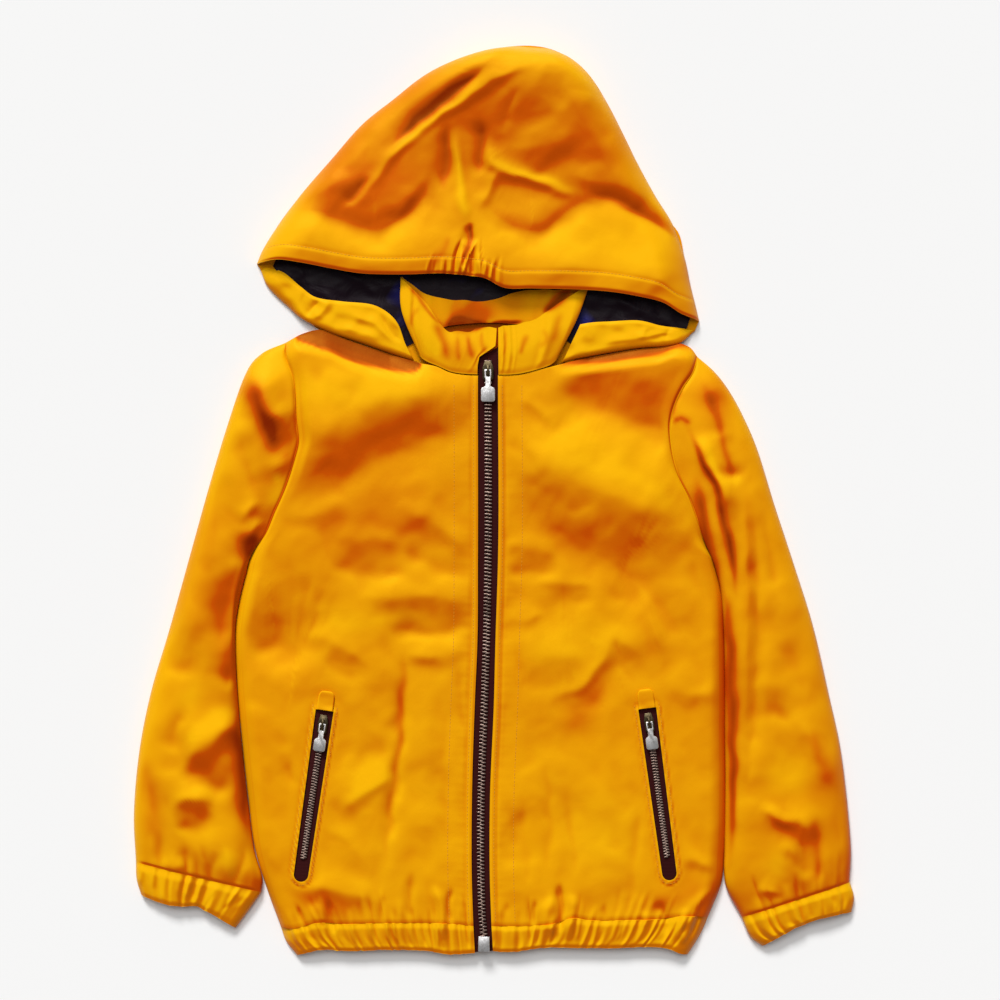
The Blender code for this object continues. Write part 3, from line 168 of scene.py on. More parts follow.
# Sections of each sleeve from armhole to cuff seam: outer x, y, inner x, y, share of the armhole's bow,
# height.
SLEEVE = {
    "left": [
        (-166.4, 125.6, -197.6, -58.4, 1, 11),
        (-185.6, 116.8, -200.5, -68.8, 0.6, 13),
        (-198.4, 100.8, -203.6, -82.4, 0.36, 14),
        (-212.8, 60, -206.5, -104, 0.18, 14.5),
        (-227.2, 12, -205.8, -137.6, 0.06, 14.5),
        (-243.2, -45.6, -203.4, -172, 0, 15),
        (-259.2, -103.2, -199.7, -209.6, 0, 15),
        (-273.6, -152, -195.6, -246.4, 0, 15),
        (-283.2, -200, -191.4, -278.4, 0, 15),
        (-287.6, -249.6, -185.1, -300.8, 0, 14.5),
        (-286, -288.8, -185.6, -312.8, 0, 12.5),
    ],
    "right": [
        (162.4, 114.4, 174.4, -46.4, 1, 11),
        (176, 102.4, 177.7, -58.4, 0.6, 13),
        (187.2, 88, 181.3, -75.2, 0.36, 14),
        (198.4, 68, 183.6, -108.8, 0.18, 14.5),
        (210.4, 40, 184.2, -148, 0.06, 14.5),
        (224, -4, 184.2, -184, 0, 15),
        (238.4, -48, 184.6, -220, 0, 15),
        (254.4, -99.2, 184.3, -252, 0, 15),
        (267.2, -154.4, 183.8, -280, 0, 15),
        (277.6, -204, 183.5, -296, 0, 15),
        (284.8, -272, 186, -311.2, 0, 14.5),
        (284, -304.8, 197.6, -332.8, 0, 12.5),
    ],
}
CUFF_OUTER: Lines = {
    "left": [(-286, -288.8), (-285.2, -304), (-281.6, -315.2)],
    "right": [(284, -304.8), (287.6, -317.6), (285.6, -328.8)],
}
CUFF_INNER: Lines = {
    "left": [(-185.6, -312.8), (-196.8, -328.8), (-206.4, -341.6)],
    "right": [(197.6, -332.8), (206.4, -350.4), (214.4, -356)],
}
CUFF_EDGE: Lines = {
    "left": [(-281.6, -315.2), (-267.2, -320.8), (-256.8, -323.2), (-247.2, -324), (-236.8, -324),
             (-228.8, -328), (-219.2, -333.6), (-206.4, -341.6)],
    "right": [(285.6, -328.8), (272.8, -331.2), (258.4, -334.4), (240, -341.6), (225.6, -349.6),
              (214.4, -356)],
}

# Sections of the hood from brim to crown: left x, y, right x, y, share of the brim's bow, height.
HOOD = [
    (-189.6, 188.8, 164, 143.2, 1, 19.5),
    (-184.8, 200, 160.4, 158.4, 1, 20),
    (-174.4, 216.8, 157.2, 171.2, 0.85, 19.5),
    (-154.4, 244, 152, 195.2, 0.6, 17.5),
    (-129.6, 272.8, 142.6, 220.8, 0.4, 16),
    (-105.6, 300, 128.4, 244, 0.28, 16.5),
    (-80.8, 320, 112, 274.4, 0.18, 18.5),
    (-56, 339.2, 95.2, 308, 0.1, 21),
    (-32, 351.2, 78.4, 336.8, 0.05, 22.5),
    (-7.2, 359.2, 61.6, 352.8, 0, 21),
    (15.2, 362.9, 43.2, 361.1, 0, 11),
]

# Strips of the hood's opening, from its corner to the neck: outer x, y, free x, y, height.
HOOD_STRIP = {
    "left": [
        (-186.4, 183.2, -182.4, 186, 4.4),
        (-180.8, 170.4, -168, 181.6, 6.6),
        (-166.4, 156, -154.4, 170.4, 7),
        (-152.8, 145.6, -141.6, 161.6, 8),
        (-131.2, 135.2, -120.8, 158.4, 8.5),
        (-103.2, 125.6, -95.2, 155.2, 9),
        (-80.8, 117.6, -78.4, 143.2, 9.5),
        (-64.8, 112, -70.4, 124, 9.5),
    ],
    "right": [
        (54.4, 109.6, 68.8, 140, 9.5),
        (66.4, 113.6, 78.4, 141.6, 9.5),
        (90.4, 118.4, 92.8, 142.4, 9),
        (115.2, 122.4, 115.2, 143.2, 8.5),
        (136, 124, 132.8, 139.2, 8),
        (149.6, 127.2, 145.6, 137.6, 7),
        (160.8, 135.2, 155.2, 136.8, 3),
    ],
}

# Where the hood's lower layer meets each shoulder, as a share of the shoulder line.
UNDER_SHOULDER = {"left": 0.175, "right": 0.12}

# Stations round the collar: seam x, y, z, middle x, y, z, top x, y, z. The back half lies lowest.
COLLAR = [
    (-13.2, 100, 12.2, -1.6, 116.8, 12.8, 2.1, 136.8, 11.7),
    (-22.4, 100.4, 12.2, -13.6, 118.4, 12.8, -10.4, 137.6, 11.7),
    (-29.6, 101.2, 12.1, -23.2, 118.4, 12.8, -19.2, 134.4, 11.7),
    (-36, 102.8, 12.1, -32, 118.4, 12.8, -29.6, 135.2, 11.7),
    (-44.8, 106.8, 11.9, -43.2, 123.2, 12.8, -39.2, 136, 11.7),
    (-52.8, 110, 11.4, -56, 132.8, 12.8, -53.6, 156, 11.7),
    (-58, 113.6, 10.2, -67.2, 142.4, 12.4, -65.6, 168.8, 11.7),
    (-60.4, 118.4, 8, -73.6, 150.4, 10.4, -74.4, 176.8, 10),
    (-56.8, 126.4, 4.2, -69.6, 153.6, 4.8, -69.6, 175.2, 5.6),
    (-48.8, 134.4, 3.1, -52.8, 148.8, 3.4, -54.4, 164.8, 4.2),
    (-37.6, 138.8, 3.1, -38.4, 150.4, 3.4, -38.4, 160.8, 4),
    (-21.6, 140.8, 3.1, -20.8, 150.4, 3.4, -20.8, 159.2, 4),
    (-4, 141.6, 3.1, -4, 151.2, 3.4, -2.4, 160, 4),
    (14.4, 140.8, 3.1, 15.2, 152, 3.4, 16, 164.8, 4),
    (30.4, 138.4, 3.1, 32.8, 152, 3.4, 35.2, 168, 4),
    (42.4, 130.4, 3.1, 50.4, 148.8, 3.4, 53.6, 168.8, 4.2),
    (48, 124, 4.8, 63.2, 148.8, 5.6, 68.8, 173.6, 5.2),
    (51.6, 116.8, 8.2, 66.4, 144.8, 9.6, 76, 172.8, 8.2),
    (50, 112, 10.2, 61.6, 140, 12, 69.6, 167.2, 10.6),
    (44.8, 107.6, 11.4, 52.8, 134.4, 12.4, 58.4, 161.6, 11.6),
    (36, 104.4, 11.9, 40.8, 127.2, 12.8, 44, 150.4, 11.7),
    (27.2, 102, 12.1, 29.6, 123.2, 12.8, 31.2, 144, 11.7),
    (19.2, 100.4, 12.1, 20.8, 120.8, 12.8, 20.8, 140.8, 11.7),
    (11.2, 99.8, 12.2, 12, 119.2, 12.8, 12, 139.6, 11.7),
    (3.6, 99.8, 12.2, 3.5, 118.4, 12.8, 3.4, 137.2, 11.7),
]

# The collar's left front edge, which leaves room for the slider before it closes on the right one.
COLLAR_NOTCH = [(-13.2, 100), (-13, 107.2), (-11.6, 114), (1.1, 122.4), (1.8, 129.6), (2.1, 136.8)]


# Zip pieces: pocket windows from top to bottom as x, y at both ends and half widths.
POCKET = {
    "left": (-134.8, -167.6, -154.4, -304.0, 7.2, 5.8),
    "right": (122.0, -166.0, 140.4, -302.8, 7.2, 5.8),
}


# Folds: width, height (below 0 for a trough), steepness of the side that faces the hem, and then x, y of
# each point of the crest or trough in steps of FOLD_STEP.
FOLD_STEP = 0.8
BODY_FOLDS: list[Fold] = [
    (54, 4, 0, -210, 26, -178, 57, -144, 83, -94, 102, -54, 103, -22, 97),
    (31, -1.3, 0, -200, -3, -149, 21, -109, 46, -69, 62, -22, 69),
    (16, 0.6, 0.2, -213, -17, -174, -11, -142, 0),
    (51, -4.6, 0.3, -258, -147, -224, -147, -194, -146, -168, -156),
    (23, -1.2, 0.2, -164, -66, -124, -70, -82, -73),
    (18, 0.7, 0.2, -158, -39, -122, -38, -90, -46),
    (20, 1.2, 0.2, -94, -2, -64, -21, -20, -51),
    (19, -1, 0.1, -90, -46, -59, -66, -20, -79),
    (25, 1.8, 0.3, -134, -99, -94, -95, -54, -97, -18, -100),
    (19, -1.4, 0.2, -111, -129, -64, -131, -18, -124),
    (16, 1, 0.3, -88, -156, -54, -156, -22, -148),
    (16, 0.8, 0.3, -190, -134, -159, -142, -125, -165),
    (16, -0.5, 0, -176, -157, -152, -170, -130, -186),
    (11, -1.7, 0, -91, -150, -93, -200, -96, -260, -102, -312, -111, -374),
    (19, 1.2, 0.3, -97, -271, -128, -289, -157, -313),
    (18, -0.8, 0, -97, -245, -124, -254, -146, -272),
    (17, 0.6, 0.2, -172, -318, -146, -342, -116, -372),
    (12, -0.6, 0, -51, -200, -50, -290, -46, -362),
    (10, -0.5, 0, -38, -162, -33, -200, -30, -240),
    (12, 0.4, 0.2, -214, -242, -198, -268, -189, -292),
    (11, -0.4, 0, -210, -262, -194, -290),
    (20, 1.4, 0.3, -204, -387, -174, -384, -144, -390, -108, -403),
    (24, 0.6, 0, -64, -190, -66, -260, -70, -360),
    (58, 4.4, 0, 11, 72, 41, 46, 76, 22, 121, 7, 161, -7, 202, -41),
    (32, -1.7, 0.1, 11, -2, 46, -21, 86, -46, 131, -72, 171, -112, 208, -142),
    (38, -2.5, 0.1, 54, 114, 96, 98, 136, 81, 198, 63),
    (13, 0.6, 0.3, 18, 105, 41, 93, 63, 70),
    (13, -0.5, 0, 9, 60, 26, 48, 46, 26),
    (16, 0.9, 0.3, 6, -48, 34, -47, 62, -52),
    (16, -0.8, 0.1, 8, -72, 36, -71, 68, -76),
    (13, 0.5, 0.3, 42, -84, 72, -81, 100, -85),
    (14, -0.4, 0, 42, -102, 72, -99, 104, -100),
    (13, 0.9, 0.3, 139, -76, 154, -110, 171, -166),
    (17, -0.6, 0, 108, -98, 132, -96, 148, -110),
    (17, 1.3, 0.3, 55, -196, 88, -183, 107, -158, 122, -137, 138, -148, 156, -170),
    (17, -0.7, 0, 72, -214, 106, -196, 124, -166, 148, -188),
    (35, 1.9, -0.3, 6, -148, 36, -151, 68, -157, 98, -151),
    (14, 0.6, 0.3, 8, -112, 26, -118, 54, -112),
    (11, -0.6, 0, 52, -262, 55, -310, 53, -382),
    (11, -0.5, 0, 72, -292, 77, -330, 83, -380),
    (11, -0.6, 0, 149, -300, 140, -340, 136, -405),
    (12, -0.6, 0, 26, -290, 30, -350, 34, -405),
    (21, 0.5, 0, 110, -242, 114, -300, 112, -370),
    (10, -0.4, 0, 12, -300, 18, -322, 24, -350),
    (13, 0.9, 0.3, 178, -358, 201, -357, 220, -368),
    (26, 1.1, 0.2, 170, -190, 206, -192, 230, -200),
    (14, 0.4, 0.2, 174, -100, 196, -140, 212, -162),
    (17, -0.5, 0, 196, -60, 206, -90, 218, -140),
    (14, 0.4, 0, -232, 140, -194, 122, -176, 88),
    (13, 0.4, 0, -172, 134, -156, 112, -150, 90),
]
SLEEVE_FOLDS: dict[str, list[Fold]] = {
    "left": [
        (31, 4.9, 0.3, -244, 136, -229, 106, -213, 76, -197, 64),
        (13, 1.1, 0.2, -194, 44, -210, 36, -228, 28),
        (13, 1.6, 0.3, -230, 0, -245, -11, -257, -23),
        (13, 1.9, 0.3, -226, -20, -241, -29, -250, -45),
        (18, -1.9, 0, -256, -66, -267, -106, -273, -152),
        (14, -1.3, 0, -262, -162, -266, -190),
        (25, 3.2, 0.3, -312, -253, -286, -243, -264, -228, -250, -216),
        (19, -1.5, 0, -312, -268, -289, -279, -256, -292),
        (13, -1, 0, -303, -207, -317, -224, -323, -252),
        (20, 2.2, 0.3, -324, -306, -304, -297, -276, -296),
        (16, -1.2, 0, -318, -329, -294, -323, -278, -312),
        (17, -1.7, 0, -349, -252, -341, -300, -334, -348, -331, -382),
        (12, 0.9, 0.3, -332, -362, -318, -366, -302, -365),
        (25, -1.7, 0.2, -337, -169, -314, -165, -288, -173),
        (11, -1, 0, -242, -338, -254, -368, -266, -400),
        (10, -0.8, 0, -276, -346, -282, -370, -287, -398),
        (11, -0.7, 0, -308, -338, -304, -364, -300, -396),
        (28, 1.2, 0, -287, -56, -298, -110, -304, -150),
        (16, -1, 0, -256, 70, -244, 30, -240, 0),
        (19, -0.8, 0, -268, 30, -276, -20, -278, -56),
    ],
    "right": [
        (16, 2.6, 0.3, 193, 69, 208, 48, 224, 18, 237, -22),
        (16, -1.2, 0, 228, 114, 237, 72, 241, 38),
        (17, -1.6, 0, 218, 23, 236, 27, 252, 22),
        (10, 1, 0, 247, 12, 251, -60, 252, -140, 250, -222),
        (12, -1.3, 0, 256, 0, 261, -100, 259, -200, 252, -302),
        (14, -1, 0, 263, 30, 274, -40, 285, -106),
        (17, -0.9, 0, 292, -136, 302, -164, 306, -194),
        (20, -1.3, 0.1, 256, -216, 281, -211, 300, -222),
        (18, 1.5, 0.2, 294, -210, 314, -234, 332, -270, 341, -294),
        (16, 1.7, 0.3, 263, -305, 286, -318, 306, -320, 313, -342),
        (11, -1.1, 0, 307, -326, 311, -350, 309, -380),
        (11, -0.9, 0, 321, -315, 323, -350, 321, -390),
        (13, 0.8, 0.3, 281, -346, 296, -348, 304, -362),
        (11, 0.9, 0.3, 262, -386, 274, -390, 286, -388),
        (14, -1, 0, 214, 108, 222, 90, 226, 60),
        (14, -0.7, 0, 340, -302, 342, -340, 344, -380),
        (24, 0.9, 0, 270, -140, 276, -190, 278, -205),
    ],
}
HOOD_FOLDS: list[Fold] = [
    (18, -2.8, 0.1, -110, 349, -84, 371, -44, 401, -4, 431),
    (14, 1.7, 0.2, -156, 283, -127, 305, -103, 341, -74, 368, -39, 393, 6, 420, 53, 443),
    (12, -1.4, 0.1, -124, 319, -140, 303, -152, 293),
    (18, 1.1, 0.3, -174, 331, -149, 339, -124, 351),
    (16, 0.7, 0.3, -138, 360, -122, 372, -110, 378),
    (20, 1.6, 0.1, -198, 302, -169, 316, -142, 324),
    (25, -1.7, 0.2, -210, 289, -149, 277, -116, 261, -92, 277, -70, 297, -46, 286),
    (26, -1.8, 0.2, -18, 286, 11, 274, 37, 261, 62, 274, 88, 290, 112, 294),
    (23, -2.4, 0.3, 92, 310, 131, 294, 166, 274, 192, 258),
    (19, 1.1, 0.2, 61, 324, 106, 317, 156, 301),
    (10, 1.3, 0, -40, 368, -34, 320, -26, 274),
    (11, -1.3, 0, -46, 374, -49, 335, -51, 304),
    (13, -1.5, 0, -17, 380, -12, 350, -14, 320),
    (12, 1.5, 0.3, -7, 362, -4, 340, 7, 328, 41, 316, 83, 301),
    (10, 1, 0, 7, 328, -6, 308, -16, 287),
    (8, -1.7, 0, -25, 274, -24, 253),
    (12, -0.6, 0, 27, 408, 13, 390, 9, 364),
    (17, -0.7, 0, 52, 432, 62, 414, 68, 388),
    (21, 0.8, 0, 16, 350, 51, 352, 86, 364),
    (16, -0.7, 0, 96, 404, 108, 376, 118, 350),
    (13, 0.7, 0.1, -76, 310, -90, 294, -98, 278),
    (19, 0.4, 0, 146, 270, 166, 238, 174, 200),
]
STRIP_FOLDS: list[Fold] = [
    (7, -1.3, 0.2, -191, 182, -174, 202),
    (8, 1, 0, -181, 179, -164, 200),
    (7, 0.7, 0.3, -162, 174, -138, 170, -110, 154),
    (8, 0.8, 0.4, -146, 187, -122, 176, -96, 156),
    (6, -0.8, 0, -116, 186, -92, 154),
    (7, 0.8, 0.4, 106, 155, 146, 162, 182, 167),
    (5, 0.5, 0, 146, 159, 154, 174),
    (5, -0.7, 0, 170, 158, 178, 174),
]
LINING_FOLDS: list[Fold] = [
    (9, 2, 0.3, -164, 230, -134, 218, -110, 200),
    (7, 1.6, 0, -144, 238, -98, 204),
    (8, 1.6, 0, 106, 200, 136, 194, 166, 182),
    (6, 1.2, 0, -114, 190, -102, 172, -86, 154),
    (6, -1, 0, 126, 204, 156, 190),
    (8, 1, 0, -194, 228, -154, 194),
]
# How far the lit part of each front panel starts from its shoulder line: share of the line and distance.
# The cloth between the shoulder line and the lit part gets painted shadow of the hood's strip.
SHOULDER_DIP = {
    "left": [(0, 0), (0.05, 1), (0.1, 7), (0.18, 15.5), (0.36, 16.5), (0.5, 14), (0.62, 11), (0.68, 8),
             (0.72, 1), (1, 0)],
    "right": [(0, 0), (0.1, 3), (0.18, 5), (0.3, 6.5), (0.42, 6.5), (0.55, 4.5), (0.68, 2), (0.75, 0),
              (1, 0)],
}

# Painted shade and painted light: the tone is deeper (painted shade) above 0, where the cloth hangs in
# another layer's shade or turns far from the light, and lighter (painted light) below 0. The columns are
# the same, but the height is a tone.
BODY_PAINTED_SHADE_AND_LIGHT: list[Fold] = [
    (230, -0.14, 0, -244, -200, -114, -300, -14, -350, 66, -350, 146, -300, 226, -220),
    (60, -0.14, 0, 106, -270, 110, -330, 112, -390),
    (34, -0.25, 0, -232, 124, -174, 108, -114, 108, -44, 112),
    (50, 0.1, 0, -210, 14, -164, 38, -104, 68, -39, 76),
    (74, 0.26, 0, -204, -60, -154, -30, -94, -15, -28, -25),
    (44, 0.42, 0, 66, 116, 116, 108, 166, 98, 222, 76),
    (38, -0.25, 0, 26, 80, 76, 50, 146, 20, 206, -40),
    (52, 0.14, 0, 16, 2, 66, -32, 126, -72, 186, -126),
    (26, -0.2, 0, -194, -112, -134, -122, -54, -112),
    (30, 0.15, 0, -258, -162, -214, -164, -164, -168),
    (24, -0.3, 0, -142, -306, -122, -282, -102, -256),
    (44, -0.2, 0, 11, -140, 56, -150, 106, -140, 156, -140),
    (18, 0.35, 0, 66, -230, 96, -205, 116, -176),
    (6, 0.4, 0, -89, -155, -91, -200, -94, -270),
    (18, 0.4, 0, -204, -396, -174, -400, -134, -415),
    (18, 0.3, 0, 146, -405, 196, -390, 218, -372),
]
SLEEVE_PAINTED_SHADE_AND_LIGHT: dict[str, list[Fold]] = {
    "left": [
        (110, -0.2, 0, -294, -260, -294, -350, -290, -410),
        (14, 1.35, 0, -248, 128, -238, 104, -224, 78, -221, 58, -224, 38),
        (14, 0.7, 0, -212, 52, -206, 44, -203, 35),
        (12, -0.5, 0, -214, 30, -216, 16),
        (11, -0.35, 0, -222, 30, -214, 16, -226, -5),
        (12, 1.1, 0, -236, -28, -244, -45, -248, -62),
        (20, 0.4, 0, -254, -65, -266, -100, -268, -150, -262, -195),
        (11, 1.1, 0, -258, -206, -253, -260, -247, -340),
        (18, 0.2, 0, -308, -260, -282, -265, -254, -275),
        (16, 0.35, 0, -348, -250, -340, -300, -334, -350),
        (13, -0.4, 0, -310, -242, -286, -226, -258, -202),
        (26, -0.3, 0, -318, -190, -304, -200, -288, -206),
        (16, 0.15, 0, -318, -324, -298, -316, -278, -306),
        (18, -0.35, 0, -278, -346, -264, -362, -254, -380),
        (60, 0.25, 0, -280, 20, -298, -60, -318, -150),
    ],
    "right": [
        (30, 0.55, 0, 212, 134, 220, 110, 222, 70),
        (5, 0.9, 0, 190, 114, 181, 96, 177, 76),
        (5, 0.9, 0, 178, 75, 188, 80, 198, 77),
        (6, 1.5, 0, 192, 82, 201, 52, 222, 10, 232, -34, 242, -100),
        (10, 1.1, 0, 200, 30, 208, -20, 220, -72, 230, -100),
        (6, 0.6, 0, 204, 124, 219, 90, 230, 49, 239, 10),
        (9, 1.3, 0, 218, -66, 230, -100, 236, -180, 237, -280, 235, -380),
        (9, -0.5, 0, 234, 16, 246, 24),
        (8, 0.15, 0, 251, 20, 253, -60, 251, -140),
        (12, 0.4, 0, 314, -224, 326, -256, 338, -290),
        (12, 0.45, 0, 270, -312, 290, -326, 306, -345),
        (30, -0.25, 0, 276, -240, 291, -270, 306, -300),
        (20, -0.25, 0, 266, -350, 281, -366, 296, -376),
        (9, 0.4, 0, 318, -316, 322, -350, 320, -388),
        (8, -0.35, 0, 197, 70, 212, 52, 226, 8, 239, -52),
    ],
}
HOOD_PAINTED_SHADE_AND_LIGHT: list[Fold] = [
    (150, 0.84, 0, -54, 310, -14, 360, 26, 400, 46, 434),
    (70, 0.62, 0, -184, 288, -134, 304, -84, 328, -54, 360),
    (44, 0.42, 0, -210, 294, -164, 340, -104, 396, -34, 442),
    (80, 0.35, 0, 66, 410, 106, 350, 156, 295),
    (7, 1.6, 0, -106, 353, -74, 380, -44, 402, -8, 428),
    (13, 0.42, 0.8, -208, 294, -149, 282, -116, 268, -92, 283, -70, 302, -48, 294),
    (13, 0.42, 0.8, -16, 293, 11, 281, 37, 269, 62, 281, 88, 296, 118, 294),
    (10, 0.5, 0.8, 116, 294, 146, 284, 170, 270, 190, 256),
    (4, 1.3, 0, -25, 278, -23, 262, -29, 244, -35, 232),
    (20, 0.4, 0, -198, 296, -154, 308, -116, 314),
    (12, 0.5, 0, 86, 310, 126, 297, 158, 282, 186, 264),
    (8, 0.5, 0, -48, 370, -48, 335, -50, 302),
    (9, 0.5, 0, -14, 380, -12, 350, -14, 320),
    (9, -0.45, 0, -6, 358, -1, 340, 18, 328, 51, 318, 88, 306),
    (7, -0.45, 0, -38, 360, -33, 320, -26, 272),
    (8, -0.3, 0, -152, 286, -126, 308, -106, 336, -74, 366, -34, 396, 26, 434),
    (26, -0.15, 0, -204, 256, -154, 254, -114, 254, -64, 264),
    (42, -0.25, 0, 46, 238, 96, 256, 146, 244, 188, 224),
    (6, 0.4, 0, -64, 232, -50, 250, -44, 264),
]
COLLAR_PAINTED_SHADE_AND_LIGHT: list[Fold] = [
    (8, 4.5, 0, -53, 171, -42, 174, -26, 175, -2, 175),
    (3, 2.6, 0, -6, 174, 8, 176, 30, 180),
    (14, 0.5, 0, -48, 182, -24, 188, 6, 184),
    (40, 0.42, 0, -58, 160, -32, 150, -2, 148),
    (6, 1.9, 0, 47, 185, 62, 196, 80, 210),
    (22, 0.3, 0, -60, 200, -24, 194, 46, 202),
    (3, 0.9, 0, -91, 218, -78, 204, -64, 188, -48, 171),
    (5, 0.5, 0, -73, 196, -80, 184, -84, 170),
    (7, 0.8, 0, -58, 182, -52, 160, -42, 138),
    (5, 0.75, 0, -28, 167, -24, 150, -20, 138),
    (4, 0.6, 0, -10, 169, -11, 155, -7, 144),
    (4, 0.5, 0, -38, 165, -36, 150, -32, 134),
    (3, 0.5, 0, 12, 170, 10, 152, 8, 140),
    (5, 0.7, 0, 36, 166, 29, 154, 23, 142),
    (5, 0.5, 0, 47, 174, 51, 162, 48, 148),
    (7, 0.45, 0, 68, 188, 62, 170, 54, 154),
    (8, -0.4, 0, -70, 170, -62, 154, -54, 142),
    (6, -0.3, 0, 18, 170, 20, 155, 16, 140),
]
# Gathers of the hem band, listed one by one over the seeded ones: each runs over the band's seam.
HEM_FOLDS: list[Fold] = [
    (6, -1.7, 0, 65, -380, 67, -405, 64, -432),
    (9, 1.3, 0, 56, -394, 54, -408, 57, -436),
    (9, 1.2, 0, 77, -392, 78, -412, 76, -438),
    (6, -0.7, 0, 40, -398, 43, -425),
    (6, -1.1, 0, -167, -395, -162, -412, -160, -432),
    (8, 0.8, 0, -176, -400, -172, -425),
    (7, -0.9, 0, -80, -368, -83, -400, -85, -425),
    (8, 1.4, 0, -58, -380, -53, -405, -48, -438),
    (5, -0.9, 0, -44, -385, -45, -405, -43, -425),
    (5, -0.6, 0, -110, -393, -112, -425),
    (5, -0.6, 0, -194, -405, -188, -430),
    (9, 1.2, 0.2, 222, -384, 200, -408, 182, -430),
    (6, -1.1, 0, 212, -400, 200, -422, 196, -438),
    (6, 1.1, 0, 190, -404, 186, -425, 190, -444),
    (7, -0.9, 0, 162, -398, 170, -416, 174, -434),
    (8, 0.8, 0, 146, -408, 158, -422),
    (5, -0.5, 0, 110, -400, 113, -426),
    (5, -0.5, 0, 11, -402, 14, -430),
]


# Surfaces ------------------------------------------------------------------------------------------


def spread(count: int, edge: float = 0.02) -> Array:
    """Stations from 0 to 1 with a few more near both ends.

    Args:
        count: number of even steps.
        edge: share at both ends that gets three more stations.

    Returns:
        The sorted stations.
    """
    more = edge * np.array([0.1, 0.3, 0.6])
    return np.unique(np.concatenate([np.linspace(0, 1, count + 1), more, 1 - more]))


def gap(points: Array, others: Array) -> Array:
    """Distance from points to the other ones."""
    return np.linalg.norm(points - others, axis=-1)


def bell(distance: Array, width: float) -> Array:
    """A bell curve of height 1 at the distance 0."""
    return np.exp(-((distance / width) ** 2))


def steps_of(line: Array) -> Array:
    """Length of each step of a line of points."""
    return np.linalg.norm(np.diff(line, axis=0), axis=1)


def run_of(line: Array) -> Array:
    """Length along a line at each of its points."""
    return np.concatenate([[0.0], np.cumsum(steps_of(line))])


def smooth(value: Array, low: float = 0.0, high: float = 1.0) -> Array:
    """Smooth step of a value from 0 at `low` to 1 at `high`."""
    q = np.clip((np.asarray(value, float) - low) / (high - low), 0, 1)
    return q * q * (3 - 2 * q)


def at_knots(knots: Array, values: Array, at: Array) -> Array:
    """A smooth curve through the values, read at the places `at`.

    Args:
        knots: rising places of the values.
        values: a row for each knot.
        at: places to read.

    Returns:
        A row for each place.
    """
    values, at = np.asarray(values, float), np.asarray(at, float)
    slope = np.gradient(values, knots, axis=0)
    i = np.clip(np.searchsorted(knots, at, side="right") - 1, 0, len(knots) - 2)
    width = (knots[i + 1] - knots[i])[:, None]
    u = (at - knots[i])[:, None] / width
    return (
        (2 * u**3 - 3 * u**2 + 1) * values[i]
        + (u**3 - 2 * u**2 + u) * width * slope[i]
        + (3 * u**2 - 2 * u**3) * values[i + 1]
        + (u**3 - u**2) * width * slope[i + 1]
    )


def along(points: list[Point], at: Array) -> Array:
    """Points at the shares `at` of a smooth curve's length."""
    curve = np.asarray(points, float)
    return at_knots(column_shares(curve[:, :2]), curve, at)


def sections(table: list, at: Array) -> Array:
    """Rows of a section table at the shares `at` from its first row to its last."""
    return at_knots(np.linspace(0, 1, len(table)), table, at)


def column_shares(curve: Array) -> Array:
    """Share of a curve's length at each of its points."""
    return run_of(curve) / steps_of(curve).sum()


def patch(top: Array, bottom: Array, first: Array, last: Array, down: Array) -> Array:
    """A plan grid between four boundary curves, with rows at the shares `down`.

    Args:
        top: first row.
        bottom: last row.
        first: first column.
        last: last column.
        down: share of the way down at each row.

    Returns:
        Rows and columns of plan points.
    """
    t = down[:, None, None]
    s = column_shares(top)[None, :, None]
    corners = (
        (1 - t) * (1 - s) * top[0] + (1 - t) * s * top[-1] + t * (1 - s) * bottom[0] + t * s * bottom[-1]
    )
    return (1 - t) * top[None] + t * bottom[None] + (1 - s) * first[:, None] + s * last[:, None] - corners


def between_lines(top: Array, bottom: Array, rows: int) -> Array:
    """A plan grid between two lines, with straight ends.

    Args:
        top: first row.
        bottom: last row.
        rows: number of rows.

    Returns:
        Rows and columns of plan points.
    """
    down = np.linspace(0, 1, rows)
    first, last = (top[k] + (bottom[k] - top[k]) * down[:, None] for k in (0, -1))
    return patch(top, bottom, first, last, down)


def roll(distance: Array, width: float | Array) -> Array:
    """0 at an edge, rising to 1 over a quarter of an ellipse."""
    q = np.clip(distance / width, 0, 1)
    return np.sqrt(1 - (1 - q) ** 2)


def dome(s: Array, power: int = 4) -> Array:
    """Height share of a flattened tube at the share `s` of its width."""
    return np.sqrt(np.clip(1 - np.abs(2 * s - 1) ** power, 0, 1))


